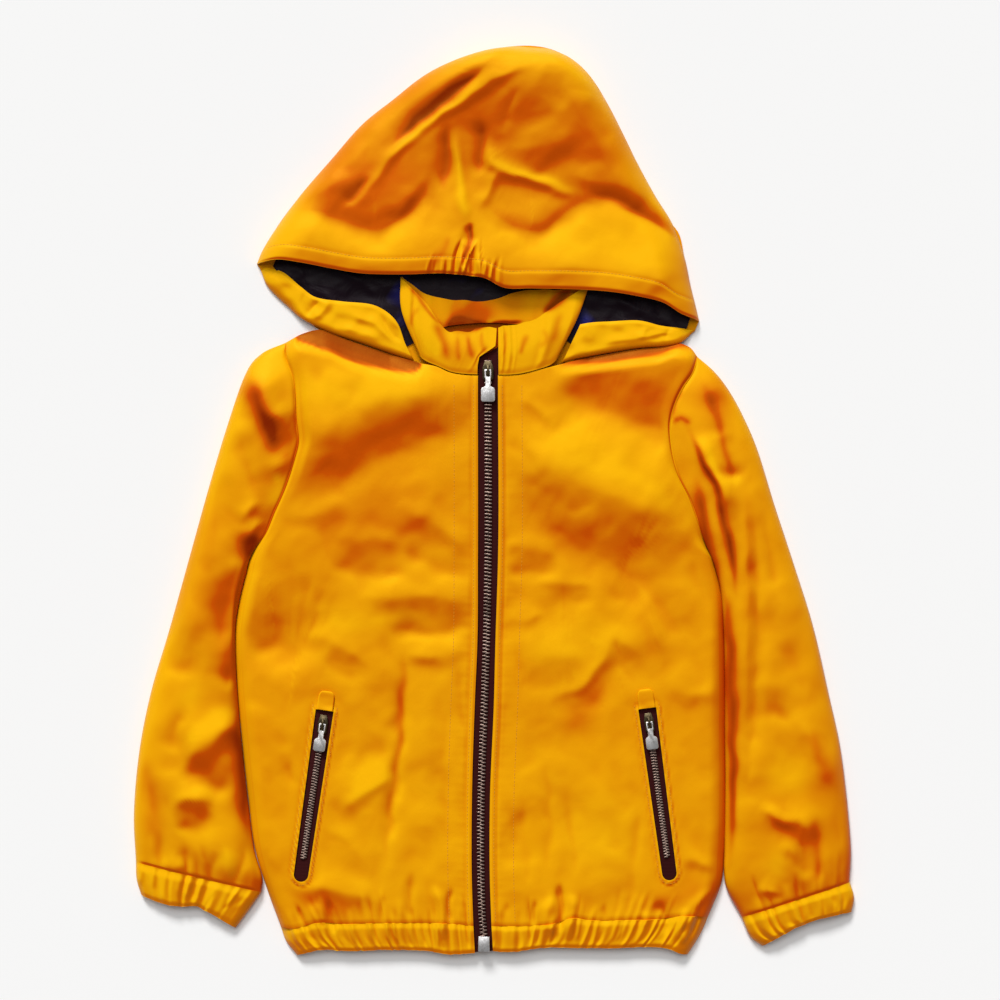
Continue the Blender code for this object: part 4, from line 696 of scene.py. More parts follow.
def folded(plan: Array, folds: list[Fold]) -> Array:
    """Height that folds add to soft cloth.

    Each fold runs along its points and wanders a little. Its side that faces the hem drops over a shorter
    way than the other one, and it dies out at both ends.

    Args:
        plan: grid of plan points.
        folds: rows of a fold table.

    Returns:
        Height at each plan point.
    """
    warp = np.stack([rumple(plan, 71, 36.0, 1.5), rumple(plan, 72, 36.0, 1.5)], axis=-1)
    moved = plan + warp
    total = np.zeros(plan.shape[:-1])
    for k, (width, height, crisp, *steps) in enumerate(folds):
        points = np.round(FOLD_STEP * np.reshape(steps, (-1, 2)), 1)
        line = along(points, np.linspace(0, 1, 4 * len(points) - 3))
        places = column_shares(line)
        length = steps_of(line).sum()
        near = np.full(total.shape, np.inf)
        side, reach = np.zeros_like(total), np.zeros_like(total)
        for i in range(len(line) - 1):
            run = line[i + 1] - line[i]
            step = np.hypot(*run)
            offset = moved - line[i]
            t = np.clip((offset @ run) / step**2, 0, 1)
            apart = gap(offset, t[..., None] * run)
            turn = (offset[..., 1] * run[0] - offset[..., 0] * run[1]) / step
            closer = apart < near
            near = np.where(closer, apart, near)
            side = np.where(closer, turn, side)
            reach = np.where(closer, places[i] + t * (places[i + 1] - places[i]), reach)
        way = line[-1] - line[0]
        lit = 1.0 if SHADE[1] * way[0] - SHADE[0] * way[1] > 0 else -1.0
        apart = near * np.where(side * lit > 0, 1.0, -1.0)
        taper = 0.5 + 0.5 * np.sqrt(np.clip(np.sin(np.pi * reach), 0, 1))
        slim = 0.5 * width * (1 + 0.15 * np.sin(7 * reach + k)) * taper
        long, steep = slim * (1.15 + 0.3 * abs(crisp)), slim * (1.0 - 0.75 * crisp)
        crest = np.where(apart < 0, np.exp(-((near / long) ** 1.7)), np.exp(-((near / steep) ** 1.8)))
        fade = max(0.8 * width, 0.3 * length)
        ends = smooth(reach * length, -0.1 * width, fade) * smooth((1 - reach) * length, -0.1 * width, fade)
        total += height * crest * ends
    return total


def rumple(plan: Array, seed: int, wavelength: float, height: float) -> Array:
    """Small seeded unevenness of soft cloth, from bent plane waves.

    Args:
        plan: grid of plan points.
        seed: seed of the waves.
        wavelength: mean length of a wave.
        height: greatest height.

    Returns:
        Height at each plan point.
    """
    random = np.random.default_rng(seed)
    total = np.zeros(plan.shape[:-1])
    x, y = plan[..., 0], plan[..., 1]
    waves = 12
    for _ in range(waves):
        angle, phase, bend = random.uniform(0, 2 * np.pi, 3)
        length = wavelength * random.uniform(0.6, 1.7)
        across = x * np.cos(angle) + y * np.sin(angle)
        beside = y * np.cos(angle) - x * np.sin(angle)
        wander = 1.6 * np.sin(2 * np.pi * beside / (2.3 * length) + bend)
        total += np.sin(2 * np.pi * across / length + phase + wander)
    return height * np.tanh(total / np.sqrt(waves))


def gathered(across: Array, down: Array, seed: int, count: int, height: float = 1.3,
             above: tuple[float, float] = (6.0, 46.0), below: tuple[float, float] = (8.0, 30.0),
             width: float = 1.0) -> Array:
    """Uneven upright gathers that run over a seam, each with its own width, lean and reach.

    Args:
        across: distance along the seam at each point.
        down: distance from the seam, above 0 on the gathered side.
        seed: seed of the unevenness.
        count: how many gathers there are.
        height: greatest height of one.
        above: least and greatest reach before the seam.
        below: least and greatest reach past it.
        width: how wide they are, 1 for the width of a hem's gathers.

    Returns:
        Height at each point, of about zero mean.
    """
    random = np.random.default_rng(seed)
    length = across.max()
    places = (np.arange(count) + random.uniform(-0.45, 0.45, count)) * length / count
    total = np.zeros(np.broadcast(across, down).shape)
    for k, place in enumerate(places):
        wide = width * random.uniform(1.6, 4.2)
        lean = random.normal(0.0, 0.12)
        high = height * random.uniform(0.25, 1.0) * (1 if k % 2 else -1)
        start, end = -random.uniform(*above), random.uniform(*below)
        if random.uniform() < 0.3:
            start = random.uniform(0, 0.4) * below[1]
        along_it = smooth(down, start, start + 14) * smooth(down, end + 8, end)
        total += high * along_it * bell(across - place - lean * down, wide)
    return total


def normals(grid: Array, ring: bool = False) -> Array:
    """Unit outward normals of a grid of points; its highest point faces up.

    Args:
        grid: rows and columns of points.
        ring: True where the columns close up.

    Returns:
        A unit vector for each point.
    """
    down = np.gradient(grid, axis=0)
    if ring:
        across = np.roll(grid, -1, axis=1) - np.roll(grid, 1, axis=1)
    else:
        across = np.gradient(grid, axis=1)
    found = np.cross(down, across)
    found /= np.maximum(np.linalg.norm(found, axis=-1, keepdims=True), 1e-9)
    highest = np.unravel_index(grid[..., 2].argmax(), grid.shape[:2])
    return found * np.sign(found[highest][2])


def fold_tone(grid: Array, ring: bool = False) -> Array:
    """Painted shade of each point, deeper where it turns from the key light or lies in a hollow, lighter
    where it faces it.

    Args:
        grid: outer points of the cloth.
        ring: True where the columns close up.

    Returns:
        A value from 0.06 to 1 for each point, about 0.4 where the cloth lies level.
    """
    out = normals(grid, ring)
    height = grid[..., 2]
    mean = height.copy()
    for _ in range(10):
        mean[1:-1] = (mean[:-2] + 2 * mean[1:-1] + mean[2:]) / 4
        mean[:, 1:-1] = (mean[:, :-2] + 2 * mean[:, 1:-1] + mean[:, 2:]) / 4
    # painted shade in hollows, and painted shade or light by how far the cloth turns from the key light's
    # fixed direction SHADE
    hollow = np.clip((mean - height) / 0.6, 0, 1)
    turned = out[..., 0] * SHADE[0] + out[..., 1] * SHADE[1]
    lean = 1.9 * np.tanh(1.6 * turned) * np.where(turned > 0, 1.0, 0.6)
    return np.clip(0.40 + lean + 0.35 * hollow, 0.06, 1)


def inner_of(grid: Array, ring: bool = False, low: float = 0.3) -> Array:
    """The cloth's other side, straight in from its outer side and never below `low`.

    Args:
        grid: outer points.
        ring: True where the columns close up.
        low: least height.

    Returns:
        The matching inner points.
    """
    found = grid - normals(grid, ring) * CLOTH.wall
    found[..., 2] = np.where(grid[..., 2] > 0.05, np.maximum(found[..., 2], low), found[..., 2])
    return found


def grid_uv(grid: Array) -> Array:
    """Lengths along the middle row and a third of the way across in metres, for weaves along the grain.

    Args:
        grid: rows and columns of points.

    Returns:
        Two lengths for each point.
    """
    u = run_of(grid[grid.shape[0] // 2]) * MM
    v = run_of(grid[:, grid.shape[1] // 3]) * MM
    return np.stack(np.meshgrid(u, v), axis=-1)


def placed(name: str, data: bpy.types.ID) -> Piece:
    """Makes an object of some data and puts it in the scene.

    Args:
        name: its name.
        data: its mesh, curve, camera or light.

    Returns:
        The new object.
    """
    made = bpy.data.objects.new(name, data)
    bpy.context.scene.collection.objects.link(made)
    return made


def coated(mesh: bpy.types.Mesh, finish: Finish, sharp: float) -> bpy.types.Mesh:
    """Gives a mesh one material and smooth shading up to an angle in degrees.

    Args:
        mesh: the mesh.
        finish: its material.
        sharp: angle from which an edge is drawn sharp.

    Returns:
        The same mesh.
    """
    mesh.materials.clear()
    mesh.materials.append(finish)
    mesh.shade_smooth()
    mesh.set_sharp_from_angle(angle=np.radians(sharp))
    return mesh


def mesh_of(name: str, work: bmesh.types.BMesh) -> bpy.types.Mesh:
    """Turns a working mesh into a plain one and frees it.

    Args:
        name: its name.
        work: the working mesh.

    Returns:
        The new mesh.
    """
    mesh = bpy.data.meshes.new(name)
    work.to_mesh(mesh)
    work.free()
    return mesh


def cloth_piece(name: str, outer: Array, inner: Array, finish: Finish, ring: bool = False,
                sharp: float = 70.0, shade: Array | float = 0.0, inner_shade: float = 2.0) -> Piece:
    """One closed cloth wall from its two sides.

    Args:
        name: the piece's name.
        outer: rows and columns of outer points, in millimetres.
        inner: the matching inner points.
        finish: its material.
        ring: True where the columns close up.
        sharp: angle in degrees from which an edge is drawn sharp.
        shade: painted shade added to the painted fold shade of the outer points, which follows their form;
            below 0 it is painted light.
        inner_shade: deepest painted shade of the other side.

    Returns:
        The new object.
    """
    rows, cols = outer.shape[:2]
    points = np.concatenate([outer.reshape(-1, 3), inner.reshape(-1, 3)])
    base = rows * cols
    i, j = np.meshgrid(np.arange(rows - 1), np.arange(cols if ring else cols - 1), indexing="ij")
    k = (j + 1) % cols
    a, b, c, d = (x.ravel() for x in (i * cols + j, (i + 1) * cols + j, (i + 1) * cols + k, i * cols + k))
    faces = [np.stack([a, b, c, d], 1), base + np.stack([d, c, b, a], 1)]
    j = np.arange(cols if ring else cols - 1)
    k = (j + 1) % cols
    end = (rows - 1) * cols
    faces.append(np.stack([k, base + k, base + j, j], 1)[:, ::-1])
    faces.append(np.stack([end + k, end + base + k, end + base + j, end + j], 1))
    if not ring:
        i = np.arange(rows - 1) * cols
        faces.append(np.stack([i, base + i, base + i + cols, i + cols], 1))
        faces.append(np.stack([i, base + i, base + i + cols, i + cols], 1)[:, ::-1] + cols - 1)
    quads = np.concatenate(faces)
    corner = points[quads]
    volume = sum(np.einsum("ij,ij->i", corner[:, 0], np.cross(corner[:, k], corner[:, k + 1])).sum()
                 for k in (1, 2))
    if volume < 0:
        quads = quads[:, ::-1]
    mesh = bpy.data.meshes.new(name)
    mesh.from_pydata((points * MM).tolist(), [], quads.tolist())
    uv = grid_uv(outer).reshape(-1, 2)
    layer = mesh.uv_layers.new(name="grain")
    index = np.zeros(len(mesh.loops), np.int32)
    mesh.loops.foreach_get("vertex_index", index)
    layer.data.foreach_set("uv", np.concatenate([uv, uv])[index].astype(np.float32).ravel())
    # painted shade and light go into the point attribute "fold", which the cotton's material turns into a
    # deeper colour
    tone = np.clip(fold_tone(outer, ring) + shade, 0, 2).ravel()
    fold = mesh.attributes.new("fold", "FLOAT", "POINT")
    both = np.concatenate([tone, np.minimum(tone, inner_shade)])
    fold.data.foreach_set("value", both.astype(np.float32))
    return placed(f"{name}_cloth", coated(mesh, finish, sharp))


# Finishes ------------------------------------------------------------------------------------------


class Value:
    """A number in a shader tree whose operators add Math nodes."""

    def __init__(self, tree: bpy.types.NodeTree, socket: Socket) -> None:
        """Wraps one socket."""
        self.tree = tree
        self.socket = socket

    def _math(self, operation: str, *others: Value | float, before: bool = False) -> Value:
        """Adds one Math node on this value and the others.

        Args:
            operation: the node's operation.
            others: values or numbers.
            before: True where the first other one comes first.

        Returns:
            The node's result.
        """
        made = self.tree.nodes.new("ShaderNodeMath")
        made.operation = operation
        terms = [*others, self] if before else [self, *others]
        for slot, term in zip(made.inputs, terms):
            if isinstance(term, Value):
                self.tree.links.new(term.socket, slot)
            else:
                slot.default_value = term
        return Value(self.tree, made.outputs[0])

    def __add__(self, other: Value | float) -> Value:
        """Sum."""
        return self._math("ADD", other)

    def __sub__(self, other: Value | float) -> Value:
        """Difference."""
        return self._math("SUBTRACT", other)

    def __mul__(self, other: Value | float) -> Value:
        """Product."""
        return self._math("MULTIPLY", other)

    def __rsub__(self, other: float) -> Value:
        """A number less this value."""
        return self._math("SUBTRACT", other, before=True)

    __radd__ = __add__
    __rmul__ = __mul__

    def clamped(self, low: float = 0.0, high: float = 1.0) -> Value:
        """This value kept between two limits."""
        return self._math("MAXIMUM", low)._math("MINIMUM", high)


class Shader:
    """Builds the node tree of one material.

    Attributes:
        pitch_to_scale: scale of a wave texture whose bands are 1 m apart.
    """

    pitch_to_scale = 0.314

    def __init__(self, name: str) -> None:
        """Makes the material with its Principled shader.

        Args:
            name: its name.
        """
        self.material = bpy.data.materials.new(name)
        self.material.use_nodes = True
        self.tree = self.material.node_tree
        self.surface = self.tree.nodes["Principled BSDF"]

    def node(self, kind: str, settings: dict | None = None, **values: object) -> bpy.types.Node:
        """Adds a node.

        Args:
            kind: the node's type.
            settings: attributes that are set first.
            values: values or links of its sockets, by name with _ for a space.

        Returns:
            The node.
        """
        made = self.tree.nodes.new(kind)
        for key, value in (settings or {}).items():
            setattr(made, key, value)
        for key, value in values.items():
            slot = next(s for s in made.inputs if s.name == key.replace("_", " ") and s.enabled)
            self.feed(slot, value)
        return made

    def feed(self, slot: Socket, value: object) -> None:
        """Links or sets one input.

        Args:
            slot: the input.
            value: a value, a socket or a constant.
        """
        if isinstance(value, Value):
            self.tree.links.new(value.socket, slot)
        elif isinstance(value, Socket):
            self.tree.links.new(value, slot)
        else:
            slot.default_value = value

    def number(self, kind: str, output: str | int = 0, settings: dict | None = None,
               **values: object) -> Value:
        """Adds a node and wraps one of its outputs."""
        return Value(self.tree, self.node(kind, settings, **values).outputs[output])

    def place(self) -> Socket:
        """Adds the piece's own coordinates in metres."""
        return self.node("ShaderNodeTexCoord").outputs["Object"]

    def noise(self, place: Socket, scale: float, detail: float, **values: float) -> Value:
        """Adds clouds of noise."""
        return self.number("ShaderNodeTexNoise", 0, Vector=place, Scale=scale, Detail=detail, **values)

    def bands(self, place: Socket, direction: str, pitch: float) -> Value:
        """Adds bands of the given pitch in metres, side by side in a direction."""
        return self.number("ShaderNodeTexWave", "Fac", {"bands_direction": direction}, Vector=place,
                           Scale=self.pitch_to_scale / pitch)

    def mix(self, share: Value, first: tuple, second: tuple | Socket) -> Socket:
        """Mixes two colours by a share.

        Args:
            share: share of the second colour.
            first: first colour.
            second: second colour.

        Returns:
            The mixed colour.
        """
        made = self.tree.nodes.new("ShaderNodeMix")
        made.data_type = "RGBA"
        self.feed(made.inputs[0], share)
        self.feed(made.inputs[6], first)
        self.feed(made.inputs[7], second)
        return made.outputs[2]

    def bump(self, height: Value, distance: float, strength: float = 1.0, under: object = None) -> object:
        """Adds a Bump node, on another one where `under` is given.

        Args:
            height: height of the relief.
            distance: its depth in metres.
            strength: its strength.
            under: normal of a coarser relief.

        Returns:
            The new normal.
        """
        made = self.node("ShaderNodeBump", Height=height, Distance=distance, Strength=strength)
        if under is not None:
            self.feed(made.inputs["Normal"], under)
        return made.outputs[0]

    def set(self, **values: object) -> Finish:
        """Feeds the Principled shader and returns the material.

        Args:
            values: values or links by input name, with _ for a space.

        Returns:
            The material.
        """
        for key, value in values.items():
            self.feed(self.surface.inputs[key.replace("_", " ")], value)
        return self.material


def rgba(colour: Colour) -> tuple[float, float, float, float]:
    """A colour with full alpha."""
    return (*colour, 1.0)


@dataclass(frozen=True)
class CoatedCotton:
    """Satin coated cotton with a fine weave, whose colour is painted a deeper orange and a dark red as
    shade where its fold attribute rises.
    """

    bright: Colour = (0.89, 0.450, 0.002)
    warm: Colour = (0.89, 0.415, 0.001)
    # painted shade colours: a deeper orange, and a dark red beyond it
    deep: Colour = (0.60, 0.070, 0.0006)
    shade: Colour = (0.24, 0.006, 0.0004)
    gloss: Colour = (1.0, 0.52, 0.02)
    roughness: float = 0.47
    thread_pitch: float = 0.00055

    def material(self, name: str = "coated_cotton") -> Finish:
        """Builds the material.

        Args:
            name: its name.

        Returns:
            The material.
        """
        shader = Shader(name)
        place = shader.place()
        grain = shader.node("ShaderNodeUVMap", {"uv_map": "grain"}).outputs[0]
        fold = shader.number("ShaderNodeAttribute", "Fac", {"attribute_name": "fold"})
        clouds = shader.noise(place, 14.0, 3.0, Roughness=0.55)
        tone = shader.mix((clouds * 1.6 - 0.35).clamped(), rgba(self.bright), rgba(self.warm))
        # painted shade: the fold attribute mixes the cloth's colour towards the painted shade colours
        colour = shader.mix(fold.clamped(), tone, rgba(self.deep))
        colour = shader.mix((fold - 1.0).clamped(), colour, rgba(self.shade))
        warp, weft = (shader.bands(grain, way, self.thread_pitch) for way in "XY")
        crinkle = shader.noise(place, 70.0, 5.0, Roughness=0.6, Distortion=0.6)
        soft = shader.bump(crinkle, 0.0004, 0.5)
        woven = shader.bump(warp * weft, 0.00004, 0.6, soft)
        rough = (crinkle * 0.16 + (self.roughness - 0.08)).clamped(0.2, 0.9)
        return shader.set(Base_Color=colour, Roughness=rough, Normal=woven, Specular_IOR_Level=0.8, IOR=1.5,
                          Specular_Tint=rgba(self.gloss))


@dataclass(frozen=True)
class NavyLining:
    """Thin satin lining, near black, with royal blue glints painted as highlights in patches of noise."""

    dark: Colour = (0.0075, 0.0022, 0.006)
    glint: Colour = (0.006, 0.008, 0.16)

    def material(self) -> Finish:
        """Builds the material.

        Returns:
            The material.
        """
        shader = Shader("navy_lining")
        place = shader.place()
        clouds = shader.noise(place, 22.0, 2.0)
        # painted highlight: royal blue glints in patches of noise
        colour = shader.mix((clouds * 5.0 - 2.9).clamped(), rgba(self.dark), rgba(self.glint))
        wrinkle = shader.noise(place, 60.0, 4.0, Distortion=1.0)
        return shader.set(Base_Color=colour, Roughness=(wrinkle * 0.2 + 0.4), Specular_IOR_Level=0.12,
                          Normal=shader.bump(wrinkle, 0.0014, 0.8))


@dataclass(frozen=True)
class WovenTape:
    """Near-black woven zip tape with fine ribs across it."""

    dark: Colour = (0.028, 0.0016, 0.002)
    light: Colour = (0.046, 0.006, 0.006)
    rib: float = 0.0011

    def material(self) -> Finish:
        """Builds the material.

        Returns:
            The material.
        """
        shader = Shader("zip_tape")
        place = shader.place()
        across, down = (shader.bands(place, way, self.rib) for way in "YX")
        ribs = across * 0.7 + down * 0.3
        colour = shader.mix(ribs * 0.8, rgba(self.dark), rgba(self.light))
        return shader.set(Base_Color=colour, Roughness=0.85, Specular_IOR_Level=0.12,
                          Normal=shader.bump(ribs, 0.00018, 0.8))


@dataclass(frozen=True)
class Metal:
    """Bright or darkened zip metal with faint scratches."""

    name: str = "zip_metal"
    colour: Colour = (0.88, 0.87, 0.87)
    worn: Colour = (0.42, 0.40, 0.39)
    roughness: float = 0.36

    def material(self) -> Finish:
        """Builds the material.

        Returns:
            The material.
        """
        shader = Shader(self.name)
        place = shader.place()
        spots, fine = shader.noise(place, 420.0, 4.0), shader.noise(place, 1500.0, 2.0)
        rough = spots * 0.25 + (self.roughness - 0.1)
        colour = shader.mix((spots * 2.2 - 0.7).clamped(), rgba(self.colour), rgba(self.worn))
        return shader.set(Base_Color=colour, Roughness=rough.clamped(0.08, 0.8), Metallic=1.0,
                          Normal=shader.bump(fine, 0.00003, 0.5))


@dataclass(frozen=True)
class Thread:
    """Twisted sewing thread in the cloth's colour, with painted shade in the grooves of its twist."""

    colour: Colour = (0.86, 0.36, 0.003)
    twist: float = 0.0009

    def material(self) -> Finish:
        """Builds the material.

        Returns:
            The material.
        """
        shader = Shader("thread")
        place = shader.place()
        ply = shader.bands(place, "DIAGONAL", self.twist)
        # painted shade: the grooves between the plies are painted darker
        low = tuple(0.55 * part for part in self.colour)
        return shader.set(Base_Color=shader.mix(ply, rgba(low), rgba(self.colour)), Roughness=0.6,
                          Normal=shader.bump(ply, 0.0001, 0.6))


@dataclass(frozen=True)
class Finishes:
    """Every material of the coat, made once."""

    cotton: Finish
    lining: Finish
    tape: Finish
    teeth: Finish
    pull: Finish
    slider: Finish
    thread: Finish

    @classmethod
    def made(cls) -> Finishes:
        """Builds them all.

        Returns:
            The materials.
        """
        dark = Metal("slider_metal", (0.13, 0.10, 0.055), (0.05, 0.038, 0.02), 0.26)
        return cls(CoatedCotton().material(), NavyLining().material(), WovenTape().material(),
                   Metal("tooth_metal", (0.35, 0.25, 0.21), (0.13, 0.08, 0.06), 0.32).material(),
                   Metal().material(), dark.material(), Thread().material())


# Cloth pieces --------------------------------------------------------------------------------------


@dataclass(frozen=True)
class Cut:
    """The flat cut of one cloth piece in metres, with its area where it isn't a rectangle."""

    width: float
    length: float
    area: float


def lay(piece: Piece, nodes: list[str]) -> None:
    """Puts a cloth piece in the place of its solids.

    Args:
        piece: the cloth piece.
        nodes: nodes that it stands for.
    """
    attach(piece, "coat")
    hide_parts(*nodes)
    LOG.info("%s: %d faces", piece.name, len(piece.data.polygons))


@dataclass
class PocketOpening:
    """A slanted zip pocket's window.

    Attributes:
        side: half of the front it lies in.
        tab_half: half width of the cloth tab over the window's top.
        start: middle of the window's top.
        run: plan direction from its top to its round end.
        across: plan direction across it.
        length: its length.
        wide: half width at its top.
        narrow: half width at its round end.
    """

    side: Side
    tab_half: float = 6.6
    start: Array = field(init=False)
    run: Array = field(init=False)
    across: Array = field(init=False)
    length: float = field(init=False)
    wide: float = field(init=False)
    narrow: float = field(init=False)

    def __post_init__(self) -> None:
        """Works out the window's own axes."""
        x0, y0, x1, y1, self.wide, self.narrow = POCKET[self.side.value]
        self.start, way = np.array([x0, y0]), np.array([x1 - x0, y1 - y0])
        self.length = float(np.hypot(*way))
        self.run = way / self.length
        self.across = np.array([-self.run[1], self.run[0]])

    def distance(self, plan: Array) -> Array:
        """Distance of plan points from the window's edge, below 0 inside it.

        Args:
            plan: grid of plan points.

        Returns:
            A distance for each point.
        """
        offset = plan - self.start
        u, v = offset @ self.run, np.abs(offset @ self.across)
        end = self.length - self.narrow
        half = self.wide + (self.narrow - self.wide) * np.clip(u / end, 0, 1)
        beside = v - half
        above, below = np.maximum(-u, 0), np.maximum(u - end, 0)
        round_end = np.hypot(v, below) - self.narrow
        top = np.where(beside > 0, np.hypot(beside, above), above)
        return np.where(u > end, round_end, np.where(u < 0, top, beside))

    def outline(self, grow: float = 0.0, points: int = 17) -> Array:
        """Plan outline of the window, grown outwards.

        Args:
            grow: how far it is grown.
            points: points of the round end.

        Returns:
            The outline's points.
        """
        wide, narrow = self.wide + grow, self.narrow + grow
        centre = self.start + self.run * (self.length - self.narrow)
        bend = np.linspace(-np.pi / 2, np.pi / 2, points)
        end = [centre + self.run * narrow * np.cos(a) + self.across * narrow * np.sin(a) for a in bend]
        top = self.start - self.run * grow
        return np.array([top - self.across * wide, *end, top + self.across * wide])

    def cut_from(self, panel: Piece) -> None:
        """Cuts the window out of its front panel.

        Args:
            panel: the panel's object.
        """
        outline = self.outline(0.0, 25)
        work = bmesh.new()
        low = [work.verts.new((*(p * MM), 0.002)) for p in outline]
        face = work.faces.new(low)
        lifted = bmesh.ops.extrude_face_region(work, geom=[face])["geom"]
        bmesh.ops.translate(work, verts=[v for v in lifted if isinstance(v, bmesh.types.BMVert)],
                            vec=Vector((0, 0, 0.04)))
        bmesh.ops.recalc_face_normals(work, faces=work.faces)
        cutter = placed("window", mesh_of("window", work))
        change = panel.modifiers.new("window", "BOOLEAN")
        change.operation, change.solver, change.object = "DIFFERENCE", "EXACT", cutter
        plain(panel)
        bpy.data.objects.remove(cutter, do_unlink=True)


def plain(made: Piece) -> Piece:
    """Turns an object's evaluated result into its plain mesh, without modifiers.

    Args:
        made: the object.

    Returns:
        The same object.
    """
    bpy.context.view_layer.update()
    graph = bpy.context.evaluated_depsgraph_get()
    mesh = bpy.data.meshes.new_from_object(made.evaluated_get(graph))
    made.modifiers.clear()
    made.data = mesh
    return made


@dataclass
class FrontPanel:
    """One front half of the body, from the shoulder to the hem band.

    Attributes:
        side: left or right as seen from above.
        across: steps from the side to the zip.
        hole_rows: rows along the armhole.
        seam_rows: rows along the side seam.
        shoulder_height: height of the shoulder's edge.
        dip_rise: width over which the cloth comes up out of the hood's shade.
        calm_at_zip: width beside the zip over which the creases die out.
        edge_fold: raised fold beside the zip.
        seam_dip: depth of the seam at the armhole.
        dip_shade: painted shadow of the hood's strip on the cloth near the shoulder, known after grid().
    """

    side: Side
    across: int = 110
    hole_rows: int = 62
    seam_rows: int = 132
    shoulder_height: float = 4.6
    dip_rise: float = 9.0
    calm_at_zip: float = 9.0
    edge_fold: float = 0.5
    seam_dip: float = 0.8
    dip_shade: Array = field(init=False)

    def columns(self) -> Array:
        """Stations from the side to the zip."""
        even = np.linspace(0, 1, self.across)
        return np.unique(np.concatenate([even, EDGE_STATIONS, 1 - EDGE_STATIONS[:3]]))

    def plan(self) -> tuple[Array, Array]:
        """Plan grid and the heights of its side edge.

        Returns:
            The grid and the heights.
        """
        name, at = self.side.value, self.columns()
        hole_at = spread(self.hole_rows, 0.01)
        hole_at = hole_at[(hole_at < 0.989) | (hole_at == 1)]
        seam_at = np.linspace(0, 1, self.seam_rows)[1:]
        first = np.concatenate([along(ARMHOLE[name], hole_at), along(SIDE[name], seam_at)])
        bulge = dome(hole_at) * smooth(1 - hole_at, 0, 0.2)
        low = CLOTH.fold_height + (CLOTH.neck_height - CLOTH.fold_height) * bulge
        below = np.linalg.norm(first[len(hole_at):] - first[len(hole_at) - 1], axis=-1)
        fall = (CLOTH.fold_height - CLOTH.lowest_edge) * bell(below, 14.0)
        edge = np.concatenate([low, CLOTH.lowest_edge + fall])
        down = (first[0, 1] - first[:, 1]) / (first[0, 1] - first[-1, 1])
        down = np.maximum.accumulate(down + 1e-6 * np.arange(len(down)))
        down /= down[-1]
        return patch(along(SHOULDER[name], at), along(HEM_SEAM[name], at), first, along(CENTRE[name], down),
                     down), edge

    def gathers(self, at: Array, down: Array) -> Array:
        """Height of the hem's gathers, at shares along its seam and distances past it."""
        return gathered(250.0 * at, down, 5 + len(self.side.value), 46, 0.7, (4.0, 30.0))

    def grid(self) -> Array:
        """Outer points of the panel.

        Returns:
            Rows and columns of points.
        """
        name, at = self.side.value, self.columns()
        plan, edge = self.plan()
        from_side = gap(plan, plan[:, :1])
        from_top = gap(plan, plan[:1])
        from_zip = gap(plan, plan[:, -1:])
        from_hem = gap(plan, plan[-1:])
        pocket = PocketOpening(self.side).distance(plan)
        calm = (0.15 + 0.85 * smooth(from_zip, 2.0, self.calm_at_zip)) * smooth(pocket, 0.0, 14.0)
        calm *= smooth(from_side, 0.0, 12.0)
        height = CLOTH.body_height + calm * (folded(plan, BODY_FOLDS) + rumple(plan, 3, 60.0, 0.45)
                                             + rumple(plan, 4, 22.0, 0.08))
        gathers = self.gathers(at[None], -from_hem) + folded(plan, HEM_FOLDS)
        height += gathers * smooth(from_side, 0.0, 12.0) * smooth(pocket, 0.0, 8.0)
        height -= 0.4 * bell(from_hem, 1.4)
        height += self.edge_fold * bell(from_zip - 2.2, 2.0)
        height -= 0.35 * bell(from_zip - 5.0, 0.9)
        pucker = np.sin(from_top * 0.9 + 2.0 * np.sin(from_top * 0.11))
        height += 0.1 * pucker * np.exp(-from_zip / 7.0) * calm
        welt = np.where(pocket > 0, pocket, 0.0)
        height += 0.7 * bell(welt - 1.2, 1.0) - 0.3 * bell(welt - 3.2, 0.7)
        height = edge[:, None] + (height - edge[:, None]) * roll(from_side, CLOTH.roll)
        height -= self.seam_dip * bell(from_side, 1.5) * smooth(edge[:, None], CLOTH.lowest_edge, 6.0)
        neck = np.clip((at - 0.55) / 0.2, 0, 1)
        start = self.shoulder_height + (CLOTH.neck_height - self.shoulder_height) * neck
        start[0] = CLOTH.fold_height
        dip = np.array(SHOULDER_DIP[name])
        begin = np.interp(at, dip[:, 0], dip[:, 1])[None]
        in_shade = smooth(begin, 0.0, 5.0)
        rise = roll(from_top, self.dip_rise + 9.0) * (1 - in_shade)
        rise = rise + in_shade * smooth(from_top, -0.2 * begin, begin + self.dip_rise)
        height = start + (height - start) * rise
        height[:, 0] = edge
        # painted shadow of the hood's strip, with a crisp border where the lit part starts
        self.dip_shade = 1.75 * in_shade * smooth(from_top, begin + 2.2, begin - 2.2)
        return np.dstack([plan, height])

    def build(self, finishes: Finishes) -> Array:
        """Makes the panel with its pocket window.

        Args:
            finishes: the coat's materials.

        Returns:
            The panel's outer points.
        """
        grid = self.grid()
        name = f"front_{self.side.value}_panel"
        # painted shade and light from the body's table, and the painted shadow of the hood's strip
        piece = cloth_piece(name, grid, inner_of(grid, low=1.35), finishes.cotton,
                            shade=folded(grid[..., :2], BODY_PAINTED_SHADE_AND_LIGHT) + self.dip_shade)
        PocketOpening(self.side).cut_from(piece)
        lay(piece, [name])
        return grid


